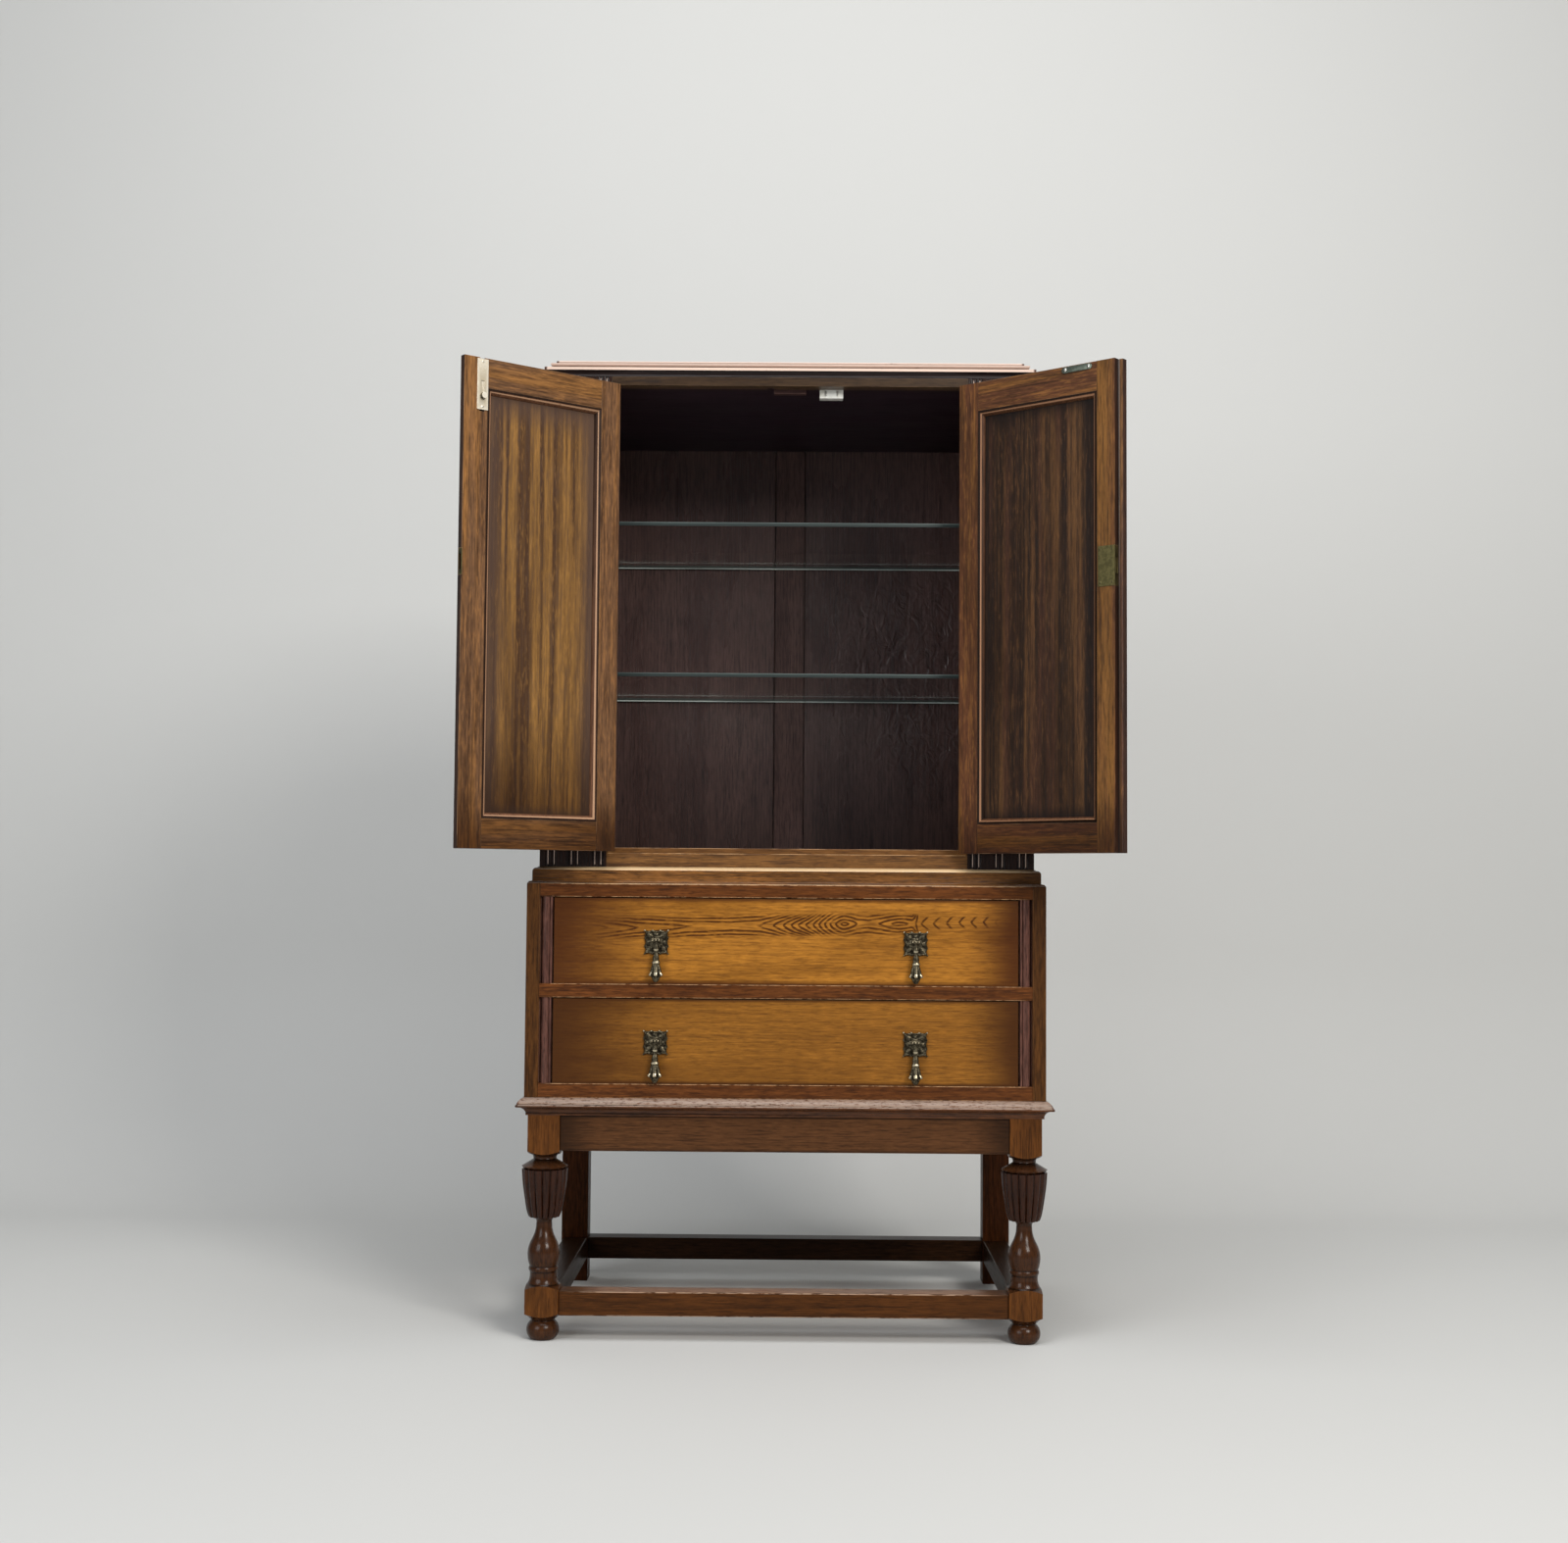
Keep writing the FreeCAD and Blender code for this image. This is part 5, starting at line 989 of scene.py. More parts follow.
def dress(piece: Piece, body: str, slot: str, *nodes: str) -> Piece:
    """Attach a piece to its body and hide the CAD nodes that it stands for."""
    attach(piece, body)
    if nodes:
        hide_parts(*nodes)
    return piece


def closed_turn(body: str) -> float:
    """How far a door's boards are turned from the closed door, in radians.

    Args:
        body: The body that rides on the door, or any other body.

    Returns:
        The turn about the upright axis, or zero for a body that isn't on a door.
    """
    parents = {joint["child"]: joint for joint in frame["joints"]}
    while body in parents:
        joint = parents[body]
        if body.endswith("_door"):
            return math.radians(-joint["range_deg"][0]) * joint["axis"][2]
        body = joint["parent"]
    return 0.0


def spun(mesh: Mesh, profile: Sequence[tuple[float, float]], place: Matrix,
         steps: int = 24) -> list[Vert]:
    """Spin a profile about an axis into a closed solid.

    Args:
        mesh: The mesh to add to.
        profile: Points of radius and height; the first and last are on the axis.
        place: From the profile's space, whose axis is Z, to the mesh's.
        steps: How many faces go round.

    Returns:
        The new vertices.
    """
    before = set(mesh.verts)
    verts = [mesh.verts.new((radius, 0.0, height)) for radius, height in profile]
    edges = [mesh.edges.new(pair) for pair in zip(verts, verts[1:])]
    bmesh.ops.spin(mesh, geom=verts + edges, cent=(0, 0, 0), axis=(0, 0, 1), angle=math.tau,
                   steps=steps, use_merge=True)
    made = [vert for vert in mesh.verts if vert not in before]
    bmesh.ops.remove_doubles(mesh, verts=made, dist=WELD_DISTANCE)
    made = [vert for vert in mesh.verts if vert not in before]
    faces = list({face for vert in made for face in vert.link_faces})
    bmesh.ops.recalc_face_normals(mesh, faces=faces)
    bmesh.ops.transform(mesh, matrix=place, verts=made)
    return made


def block(mesh: Mesh, low: Vector, high: Vector, place: Matrix | None = None) -> None:
    """Add a rectangular solid between two corners."""
    size = high - low
    matrix = Matrix.Translation((low + high) / 2) @ Matrix.Diagonal((*size, 1.0))
    bmesh.ops.create_cube(mesh, size=1.0, matrix=(place or Matrix()) @ matrix)


def node_body(node: str) -> str:
    """The body that a CAD node rides on."""
    return frame["nodes"][node]["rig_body"]


def node_slot(node: str) -> str:
    """A CAD node's material slot in the record."""
    return next(part["material_slot"] for part in frame["record"]["subparts"] if part["node"] == node)


def prepare(mesh: Mesh, name: str) -> None:
    """Lay the layers that the finishes read on a piece made here."""
    bmesh.ops.recalc_face_normals(mesh, faces=mesh.faces)
    if "hollow_dirt_and_shade" not in mesh.verts.layers.float:
        mesh.verts.layers.float.new("hollow_dirt_and_shade")
    if "wear" not in mesh.faces.layers.float:
        mesh.faces.layers.float.new("wear")
    lay_grain(mesh, name, 0.0)


def closed_to_open(side: str) -> Matrix:
    """From a door's closed place to where it stands open.

    Args:
        side: "left" or "right".

    Returns:
        The turn about the door's hinge.
    """
    joint = next(item for item in frame["joints"] if item["child"] == f"{side}_door")
    pivot = Matrix.Translation(joint["pos_m"])
    return pivot @ Matrix.Rotation(closed_turn(f"{side}_door"), 4, "Z") @ pivot.inverted()


def moved_verts(made: dict[str, Any]) -> list[Vert]:
    """The vertices in what an extrusion returns."""
    return [item for item in made["geom"] if isinstance(item, Vert)]


def finish_new(mesh: Mesh, before: set[Face], finish: int) -> None:
    """Give the faces that weren't there before the finish of that number."""
    for face in set(mesh.faces) - before:
        face.material_index = finish


def add_screw(mesh: Mesh, place: Matrix, radius: float, slot_turn: float) -> None:
    """Add one slotted screw head.

    Args:
        mesh: The mesh, whose second material is the slot's.
        place: Where the head sits; its local Z points out of the surface.
        radius: The head's radius.
        slot_turn: How far the slot is turned.
    """
    profile = ((0.0, 0.22), (0.55, 0.19), (0.88, 0.08), (1.0, -0.10), (0.0, -0.10))
    spun(mesh, [(radius * r, radius * h) for r, h in profile], place, 20)
    before = set(mesh.faces)
    half = Vector((0.82, 0.10, 0.0)) * radius
    turned = place @ Matrix.Rotation(slot_turn, 4, "Z")
    block(mesh, -half, half + Vector((0.0, 0.0, 0.235 * radius)), turned)
    finish_new(mesh, before, 1)


# Sub-assemblies

TULIP_PROFILE = (
    (0.04, 0.0), (0.04, 0.24), (0.10, 0.21), (0.16, 0.26), (0.21, 0.36), (0.25, 0.27), (0.30, 0.24),
    (0.36, 0.34), (0.42, 0.42), (0.47, 0.38), (0.50, 0.45), (0.525, 0.54), (0.55, 0.46), (0.58, 0.50),
    (0.64, 0.62), (0.70, 0.70), (0.76, 0.80), (0.80, 0.95), (0.82, 1.0), (0.84, 0.93), (0.86, 0.64),
    (0.90, 0.50), (0.95, 0.37), (0.985, 0.22), (1.0, 0.0),
)


@dataclass
class Assembly:
    """A sub-assembly, which builds its pieces and dresses them."""

    arris: float = 0.0008

    def carry(self, node: str, *finishes: Finish, arris: float | None = None, top_wear_and_highlight: float = 0.0,
              detail: Callable[[Mesh], None] | None = None) -> Piece:
        """Make a softened copy of a CAD node, in the node's place.

        Args:
            node: The node's name.
            finishes: Its finishes, in the order of the faces' material numbers.
            arris: How far its edges are softened, or None for the sub-assembly's own.
            top_wear_and_highlight: How far its upward faces are rubbed and painted with a highlight,
                from 0 to 1.
            detail: What else is marked on the mesh.

        Returns:
            The piece.
        """
        mesh = bmesh.new()
        mesh.from_mesh(frame["nodes"][node].data)
        bmesh.ops.remove_doubles(mesh, verts=mesh.verts, dist=WELD_DISTANCE)
        bmesh.ops.dissolve_limit(mesh, angle_limit=FLAT_ANGLE, verts=mesh.verts, edges=mesh.edges)
        bmesh.ops.recalc_face_normals(mesh, faces=mesh.faces)
        round_arrises(mesh, self.arris if arris is None else arris)
        mark_hollows(mesh)
        lay_grain(mesh, node, closed_turn(node_body(node)))
        wear = mesh.faces.layers.float["wear"]
        for face in mesh.faces:
            face.material_index = 0
            # Upward faces: rubbed polish and a painted highlight, as lit from above.
            if top_wear_and_highlight and face.normal.z > UPWARD:
                face[wear] = max(face[wear], top_wear_and_highlight)
        if detail:
            detail(mesh)
        piece = finish_mesh(mesh, f"{node}_finished", finishes)
        piece.modifiers.new("even_normals", "WEIGHTED_NORMAL").keep_sharp = True
        return dress(piece, node_body(node), node_slot(node), node)

    def build(self) -> list[Piece]:
        """Make every piece of the sub-assembly."""
        raise NotImplementedError(type(self).__name__)


@dataclass
class Pull(Assembly):
    """The cast relief of one pull plate and its tulip-shaped drop."""

    joint: dict[str, Any] | None = None
    half: float = 0.0172
    dip: float = 0.10
    relief: float = 0.0019
    plate_front: float = 0.0025
    plate_drop: float = 0.003
    axis_reach: float = 0.010
    ear_middle: float = 0.0044
    ear_radius: float = 0.00375
    bead: float = 0.0016
    length: float = 0.0595
    half_width: float = 0.0113
    depth_share: float = 0.64
    eye_radius: float = 0.0034
    eye_bore: float = 0.0015
    eye_half: float = 0.003
    petals: int = 6
    leaves: int = 8
    rim_beads: int = 4
    ground: float = 0.12
    border: tuple[float, float, float] = (0.90, 0.06, 0.55)
    leaf: tuple[float, float, float] = (0.58, 0.20, 0.80)
    corner: tuple[float, float, float] = (0.82, 0.02, 0.35)
    bell_top: float = 0.54
    bell_foot: float = 0.90
    flare_top: float = 0.68
    tip_levels: tuple[float, float] = (0.78, 0.84)
    bead_levels: tuple[tuple[float, float], ...] = ((0.19, 0.235), (0.505, 0.545))
    shine_levels: tuple[float, float] = (0.60, 0.78)
    slot: str = "antique_bronze"

    def _name(self, kind: str) -> str:
        """The piece's name, from the joint's."""
        return f"{self.joint['child']}_{kind}"

    def _height(self, a: float, b: float) -> float:
        """The relief's height at a place on the plate.

        Args:
            a: The place across the plate, from -1 to 1.
            b: The place up the plate, from -1 to 1.

        Returns:
            The height, near 1 at the highest.
        """
        ring = max(abs(a), abs(b))
        ribs = 0.5 + 0.5 * math.cos(self.leaves * math.atan2(b, a))
        middle, spread, high = self.border
        border = high * math.exp(-((ring - middle) / spread) ** 2)
        middle, spread, high = self.leaf
        leaf = high * (math.exp(-((ring - middle) / spread) ** 2) * ribs ** 1.5)
        middle, spread, high = self.corner
        corner = high * math.exp(-((abs(a) - middle) ** 2 + (abs(b) - middle) ** 2) / spread)
        return self.ground + border + leaf + corner

    def plate(self) -> Piece:
        """Make the relief on the plate, with its beads; those along the top and the two ears are bright
        as painted glints.

        Returns:
            The piece, riding on the drawer.
        """
        mesh = bmesh.new()
        hollow_dirt_and_shade = mesh.verts.layers.float.new("hollow_dirt_and_shade")
        wear = mesh.faces.layers.float.new("wear")
        bmesh.ops.create_grid(mesh, x_segments=40, y_segments=40, size=1.0)
        base = set(moved_verts(
            bmesh.ops.extrude_face_region(mesh, geom=list(mesh.faces), use_keep_orig=True)))
        for vert in mesh.verts:
            a, b = vert.co.x, vert.co.y
            ring = max(abs(a), abs(b))
            side = (b if abs(a) > abs(b) else a) / max(ring, WELD_DISTANCE)
            shrink = 1.0 - self.dip * ring ** 3 * abs(math.sin(1.5 * math.pi * (side + 1.0)))
            high = 0.0 if vert in base else self._height(a, b)
            vert[hollow_dirt_and_shade] = limited(1.0 - 1.6 * high)
            vert.co = Vector((a * shrink * self.half, b * shrink * self.half, high * self.relief))
        for face in mesh.faces:
            high = face.calc_center_median().z / self.relief
            face[wear] = limited((high - 0.75) * 2.5)
        last = self.rim_beads - 1
        for index in range(self.rim_beads):
            across = (index * 2 - last) / last * 0.96 * self.half
            # Beads along the top are bright as painted glints, those along the bottom plain.
            for up, finish in ((0.95 * self.half, 1), (-0.95 * self.half, 0)):
                self._bead(mesh, Vector((across, up, self.relief * 0.6)), self.bead * 0.8, finish)
        middle = self.axis_reach - self.plate_front
        # The two ears: bright beads as painted glints.
        for side in (-1, 1):
            spot = Vector((side * self.ear_middle, self.plate_drop, middle + self.ear_radius))
            self._bead(mesh, spot, self.bead * 0.72, 1)
        pivot = Vector(self.joint["pos_m"])
        place = Matrix.Translation(pivot + Vector((0, self.axis_reach - self.plate_front,
                                                   -self.plate_drop)))
        bmesh.ops.transform(mesh, matrix=place @ Matrix.Rotation(math.pi / 2, 4, "X"),
                            verts=mesh.verts)
        prepare(mesh, self._name("plate_relief"))
        piece = finish_mesh(mesh, self._name("plate_relief"), [BRONZE, BRONZE_RUBBED_AND_GLINTS])
        return dress(piece, self.joint["parent"], self.slot)

    def _bead(self, mesh: Mesh, spot: Vector, radius: float, finish: int) -> None:
        """Add one small ball, with the finish of that number."""
        before = set(mesh.faces)
        bmesh.ops.create_uvsphere(mesh, u_segments=12, v_segments=8, radius=radius,
                                  matrix=Matrix.Translation(spot))
        finish_new(mesh, before, finish)

    def drop(self) -> Piece:
        """Make the drop: eye, beaded neck, and a bell of petals whose tips flare.

        Returns:
            The piece, in place of the CAD's drop.
        """
        mesh = bmesh.new()
        hollow_dirt_and_shade = mesh.verts.layers.float.new("hollow_dirt_and_shade")
        wear = mesh.faces.layers.float.new("wear")
        profile = [(width * self.half_width, -level * self.length) for level, width in TULIP_PROFILE]
        verts = spun(mesh, profile, Matrix(), 48)
        for vert in verts:
            level = -vert.co.z / self.length
            angle = math.atan2(vert.co.y, vert.co.x)
            groove = abs(math.sin(self.petals / 2 * angle)) ** 0.6
            bell = limited((level - self.bell_top) / 0.08) * limited((self.bell_foot - level) / 0.04)
            cut = (1.0 - groove) * bell * (0.16 + 0.34 * limited((level - self.flare_top) / 0.14))
            vert.co.x *= 1.0 - cut
            vert.co.y *= (1.0 - cut) * self.depth_share
            vert[hollow_dirt_and_shade] = limited(cut * 3.2)
        # Petal tips bright; the beads' front faces and a stroke down the front of the bell are painted
        # highlights.
        for face in mesh.faces:
            level = -face.calc_center_median().z / self.length
            tip = (between(level, self.tip_levels)
                   and max(vert[hollow_dirt_and_shade] for vert in face.verts) < 0.35)
            bead = any(between(level, levels) for levels in self.bead_levels)
            shine = between(level, self.shine_levels) and face.normal.y < -0.93
            face.material_index = 1 if tip or (bead and face.normal.y < -0.5) else 0
            face[wear] = 1.0 if shine else 0.0
        ring = bmesh.ops.create_circle(mesh, segments=4, radius=1.0, cap_ends=False)["verts"]
        for vert, (radius, across) in zip(ring, (
                (self.eye_radius, self.eye_half), (self.eye_radius, -self.eye_half),
                (self.eye_bore, -self.eye_half), (self.eye_bore, self.eye_half))):
            vert.co = Vector((across, 0.0, radius))
        edges = list({edge for vert in ring for edge in vert.link_edges})
        bmesh.ops.spin(mesh, geom=ring + edges, cent=(0, 0, 0), axis=(1, 0, 0), angle=math.tau,
                       steps=24, use_merge=True)
        # A bright ball on the front of the eye: a painted glint.
        self._bead(mesh, Vector((0.0, -self.eye_radius, 0.0)), self.bead * 0.7, 1)
        bmesh.ops.remove_doubles(mesh, verts=mesh.verts, dist=WELD_DISTANCE)
        bmesh.ops.transform(mesh, matrix=Matrix.Translation(self.joint["pos_m"]), verts=mesh.verts)
        prepare(mesh, self._name("tulip"))
        piece = finish_mesh(mesh, self._name("tulip"), [BRONZE, BRONZE_RUBBED_AND_GLINTS])
        level, side, _ = self.joint["child"].split("_")
        return dress(piece, self.joint["child"], self.slot, f"{level}_drop_{side}")

    def build(self) -> list[Piece]:
        """Make both pieces."""
        return [self.plate(), self.drop()]


@dataclass
class Stand(Assembly):
    """Turned front legs, square rear legs, aprons, stretchers and the moulding over them."""

    arris: float = 0.0009
    leg_arris: float = 0.0008
    stretcher_arris: float = 0.0014
    moulding_arris: float = 0.0006
    block_least_area: float = 0.0004
    block_straightness: float = 0.995
    cup: tuple[float, float] = (0.170, 0.240)

    def _mark_blocks(self, mesh: Mesh) -> None:
        """Give the flat sides of a leg's square blocks their own finish, and its reeded cup a darker oak
        for painted shade.
        """
        for face in mesh.faces:
            flat = max(abs(face.normal.x), abs(face.normal.y)) > self.block_straightness
            if flat and face.calc_area() > self.block_least_area:
                face.material_index = 1
            elif between(face.calc_center_median().z, self.cup):
                face.material_index = 2

    def legs(self) -> list[Piece]:
        """The two turned legs and the two square ones."""
        turned = [self.carry(f"front_leg_{side}", LEG_OAK, LEG_BLOCK_OAK, SHADED_CUP_OAK,
                             arris=self.leg_arris, detail=self._mark_blocks)
                  for side in ("left", "right")]
        return turned + [self.carry("rear_legs", SHADED_REAR_LEG_OAK, arris=self.stretcher_arris)]

    def framing(self) -> list[Piece]:
        """Aprons and stretchers."""
        return [
            self.carry("front_apron", APRON_OAK),
            self.carry("side_and_rear_aprons", SHADED_REAR_OAK),
            self.carry("front_stretcher", STRETCHER_OAK, arris=self.stretcher_arris, top_wear_and_highlight=0.3),
            self.carry("side_and_rear_stretchers", SHADED_REAR_OAK, arris=self.stretcher_arris),
        ]

    def build(self) -> list[Piece]:
        """Make the whole stand."""
        moulding = self.carry("base_moulding", MOULDING_OAK, arris=self.moulding_arris, top_wear_and_highlight=1.0)
        return self.legs() + self.framing() + [moulding]


@dataclass
class Chest(Assembly):
    """Sides, stiles, reeded strips, rails, inner boards and the moulding that narrows the chest."""

    strip_arris: float = 0.0006
    rail_arris: float = 0.0008
    moulding_arris: float = 0.0007
    ovolo_bottom: float = 0.655
    ovolo_up: float = 0.5
    ovolo_out: float = 0.2

    def _mark_waist(self, mesh: Mesh) -> None:
        """Paint a highlight on the round upper edge of the moulding."""
        wear = mesh.faces.layers.float["wear"]
        for face in mesh.faces:
            outward = max(-face.normal.y, abs(face.normal.x))
            high = face.calc_center_median().z > self.ovolo_bottom
            if high and face.normal.z > self.ovolo_up and outward > self.ovolo_out:
                face[wear] = 1.0

    def outside(self) -> list[Piece]:
        """What is seen with the drawers shut."""
        return [
            self.carry("chest_sides", CARCASS_OAK),
            self.carry("chest_stiles", CARCASS_OAK),
            self.carry("reeded_strips", STRIP_OAK, arris=self.strip_arris),
            self.carry("chest_rails", RAIL_OAK, arris=self.rail_arris),
            self.carry("waist_moulding", WAIST_OAK, arris=self.moulding_arris,
                       detail=self._mark_waist),
            self.carry("waist_board", CARCASS_OAK),
        ]

    def inside(self) -> list[Piece]:
        """Back, boards and runners."""
        return [
            self.carry("chest_back", INTERIOR_OAK),
            self.carry("dust_boards", DRAWER_BOX_OAK),
            self.carry("drawer_runners", DRAWER_BOX_OAK),
        ]

    def build(self) -> list[Piece]:
        """Make the whole chest."""
        return self.outside() + self.inside()


@dataclass
class Drawer(Assembly):
    """One drawer with its pull plates and drops."""

    level: str = "upper"
    face: Wood = UPPER_DRAWER_OAK
    front_arris: float = 0.0012
    plate_arris: float = 0.0002

    def build(self) -> list[Piece]:
        """Make the drawer and its pulls."""
        pieces = [
            self.carry(f"{self.level}_drawer_front", self.face, arris=self.front_arris),
            self.carry(f"{self.level}_drawer_box", DRAWER_BOX_OAK),
            self.carry(f"{self.level}_pull_plates", BRONZE, arris=self.plate_arris),
        ]
        for joint in frame["joints"]:
            if joint["child"].startswith(self.level) and joint["child"].endswith("_drop"):
                pieces += Pull(joint=joint).build()
        return pieces


@dataclass
class Cupboard(Assembly):
    """Pilasters, rails, inside, cornice, glass shelves, and what is fixed under the ceiling."""

    pilaster_arris: float = 0.0004
    cornice_arris: float = 0.0010
    muntin_arris: float = 0.0012
    pin_arris: float = 0.0002
    pole_widest: float = 0.010
    half_width: float = 0.352
    group_edge: float = 0.0164
    group_pitch: float = 0.0333
    reed_pitch: float = 0.0044
    reed_widest: float = 0.0025
    reed_crest: float = 0.0009
    rail_divide: float = 1.0
    cove_top: float = 1.3810
    fillet_top: float = 1.3852
    groove_top: float = 1.3884
    bead_wear: float = 0.6
    nose_wear: float = 0.5
    nose_upright: float = 0.4
    reed_front: float = 0.85
    lip_front: float = 0.5

    def _mark_lip(self, mesh: Mesh) -> None:
        """Give the floor's front edge the finish of the rail that it stands behind."""
        for face in mesh.faces:
            face.material_index = 1 if face.normal.y < -self.lip_front else 0

    def _mark_reeds(self, mesh: Mesh) -> None:
        """Paint highlights on the outer two of every three narrow reeds."""
        wear = mesh.faces.layers.float["wear"]
        for face in mesh.faces:
            face[wear] = 0.0
            places = [vert.co.x for vert in face.verts]
            if face.normal.y < -self.reed_front and max(places) - min(places) < self.reed_widest:
                middle = abs(sum(places) / len(places))
                offset = (self.half_width - self.group_edge - middle) % self.group_pitch
                offset = min(offset, self.group_pitch - offset)
                face[wear] = 1.0 if abs(offset - self.reed_pitch) < self.reed_crest else 0.0

    def _mark_cornice(self, mesh: Mesh) -> None:
        """Give the cove the dark oak of painted shadow, leave the groove dark, and paint highlights on
        the fillet and the bead.
        """
        wear = mesh.faces.layers.float["wear"]
        for face in mesh.faces:
            up = face.calc_center_median().z
            face.material_index = 1 if up < self.cove_top else 0
            if up < self.cove_top or self.fillet_top < up < self.groove_top:
                face[wear] = 0.0
            else:
                face[wear] = 1.0 if up < self.fillet_top else self.bead_wear

    def _mark_nose(self, mesh: Mesh) -> None:
        """Paint highlights on the top board's upright edges."""
        wear = mesh.faces.layers.float["wear"]
        for face in mesh.faces:
            if abs(face.normal.z) < self.nose_upright:
                face[wear] = max(face[wear], self.nose_wear)

    def _mark_top_rail(self, mesh: Mesh) -> None:
        """Give the upper rail, under the cornice, the darker oak: painted shade."""
        for face in mesh.faces:
            face.material_index = 1 if face.calc_center_median().z > self.rail_divide else 0

    def _mark_poles(self, mesh: Mesh) -> None:
        """Give the catch's two small poles the steel."""
        for group in islands(mesh):
            width = max(vert.co.x for vert in group) - min(vert.co.x for vert in group)
            for face in (face for vert in group for face in vert.link_faces):
                face.material_index = 1 if width < self.pole_widest else 0

    def _mark_glass(self, mesh: Mesh) -> None:
        """Tell the shelves' broad faces, back edges and other edges apart."""
        for face in mesh.faces:
            edge = 2 if face.normal.y > 0.9 else 1
            face.material_index = 0 if abs(face.normal.z) > 0.95 else edge

    def carcass(self) -> list[Piece]:
        """The outer boards and the mouldings."""
        return [
            self.carry("pilasters", PILASTER_OAK, arris=self.pilaster_arris, detail=self._mark_reeds),
            self.carry("cupboard_rails", FRAME_OAK, SHADED_TOP_RAIL_OAK, top_wear_and_highlight=0.2,
                       detail=self._mark_top_rail),
            self.carry("cupboard_sides", CARCASS_OAK),
            self.carry("cornice_moulding", CORNICE_OAK, COVE_SHADOW_OAK, arris=self.cornice_arris,
                       detail=self._mark_cornice),
            self.carry("top_board", CORNICE_OAK, arris=self.muntin_arris, detail=self._mark_nose),
        ]

    def inside(self) -> list[Piece]:
        """The inner boards."""
        return [
            self.carry("cupboard_floor", INTERIOR_OAK, FRAME_OAK, detail=self._mark_lip),
            self.carry("cupboard_ceiling", SHADED_CEILING_OAK),
            self.carry("door_stops", INTERIOR_OAK),
            self.carry("back_muntin", MUNTIN_OAK, arris=self.muntin_arris),
            self.carry("back_panels", RIPPLE_OAK),
        ]

    def fittings(self) -> list[Piece]:
        """Shelves, their pins, the catch, the stop block and the hinges' fixed leaves."""
        return [
            self.carry("glass_shelves", SHELF_GLASS, GLASS_EDGE, GLASS_BACK_EDGE, arris=0.0,
                       detail=self._mark_glass),
            self.carry("shelf_pins", BRASS, arris=self.pin_arris),
            self.carry("magnetic_catch", CATCH_PLASTIC, BRIGHT_STEEL, arris=self.pilaster_arris,
                       detail=self._mark_poles),
            self.carry("stop_block", INTERIOR_OAK),
            self.carry("hinge_frame_leaves", BRASS, arris=self.pin_arris / 2),
        ]

    def build(self) -> list[Piece]:
        """Make the whole cupboard but its doors."""
        return self.carcass() + self.inside() + self.fittings()


@dataclass
class Door(Assembly):
    """Stiles, rails, panel, beading and hinge leaves of one door, with what is screwed to it."""

    side: str = "left"
    timber: Wood = DOOR_OAK
    panel: Wood = LEFT_PANEL_OAK
    bead: Wood = LEFT_BEAD_OAK
    rail_arris: float = 0.0005
    panel_arris: float = 0.0003
    leaf_arris: float = 0.0001
    inner_face: float = -0.1245
    screw_radius: float = 0.0019
    crest: tuple[float, float] = (0.0005, 0.0016)
    edge_most: float = 0.3

    def _through(self) -> Vector:
        """The direction through the door, as it stands."""
        return closed_to_open(self.side).to_3x3() @ Vector((0, 1, 0))

    def _mark_edges(self, mesh: Mesh) -> None:
        """Give the edges of stiles or rails a darker oak than their faces: painted shade."""
        through = self._through()
        for face in mesh.faces:
            face.material_index = 1 if abs(face.normal.dot(through)) < self.edge_most else 0

    def _mark_joint(self, mesh: Mesh) -> None:
        """Darken the line where the beading meets the frame, and paint a highlight on its crest."""
        layer = mesh.verts.layers.float["hollow_dirt_and_shade"]
        wear = mesh.faces.layers.float["wear"]
        through = self._through()
        depths = {vert: vert.co.dot(through) for vert in mesh.verts}
        low, high = min(depths.values()), max(depths.values())
        for vert, depth in depths.items():
            if min(depth - low, high - depth) < self.panel_arris:
                vert[layer] = 1.0
        for face in mesh.faces:
            middle = face.calc_center_median().dot(through)
            if between(min(middle - low, high - middle), self.crest):
                face[wear] = 1.0

    def place(self, across: float, up: float, out: float = 0.0) -> Matrix:
        """A spot on the inner face: local Z points out of it, and local Y upwards.

        Args:
            across: X with the door closed.
            up: The height over the floor.
            out: How far the spot stands out of the face.

        Returns:
            The spot as the door stands.
        """
        spot = Matrix.Translation((across, self.inner_face + out, up))
        return closed_to_open(self.side) @ spot @ Matrix.Rotation(-math.pi / 2, 4, "X")

    def woodwork(self) -> list[Piece]:
        """The wooden pieces and the hinge leaves."""
        side = self.side
        return [
            self.carry(f"{side}_door_stiles", self.timber, SHADED_DOOR_EDGE_OAK, detail=self._mark_edges),
            self.carry(f"{side}_door_rails", self.timber, SHADED_DOOR_EDGE_OAK, arris=self.rail_arris,
                       detail=self._mark_edges),
            self.carry(f"{side}_door_panel", self.panel, arris=self.panel_arris),
            self.carry(f"{side}_door_beading", self.bead, arris=0.0, detail=self._mark_joint),
            self.carry(f"{side}_hinge_door_leaves", BRASS, arris=self.leaf_arris),
        ]

    def trim(self, name: str, finish: Finish, slot: str, mesh: Mesh,
             *nodes: str) -> Piece:
        """Finish a small piece made here and fix it to the door.

        Args:
            name: The piece's name.
            finish: Its finish; the second is the dark of screw slots, dirt and painted shade, the third
                bright steel.
            slot: Its material slot; not used.
            mesh: Its mesh.
            nodes: The CAD nodes that it stands for.

        Returns:
            The piece.
        """
        prepare(mesh, name)
        piece = finish_mesh(mesh, name, [finish, SLOT_DIRT_AND_SHADE, BRIGHT_STEEL])
        return dress(piece, f"{self.side}_door", slot, *nodes)


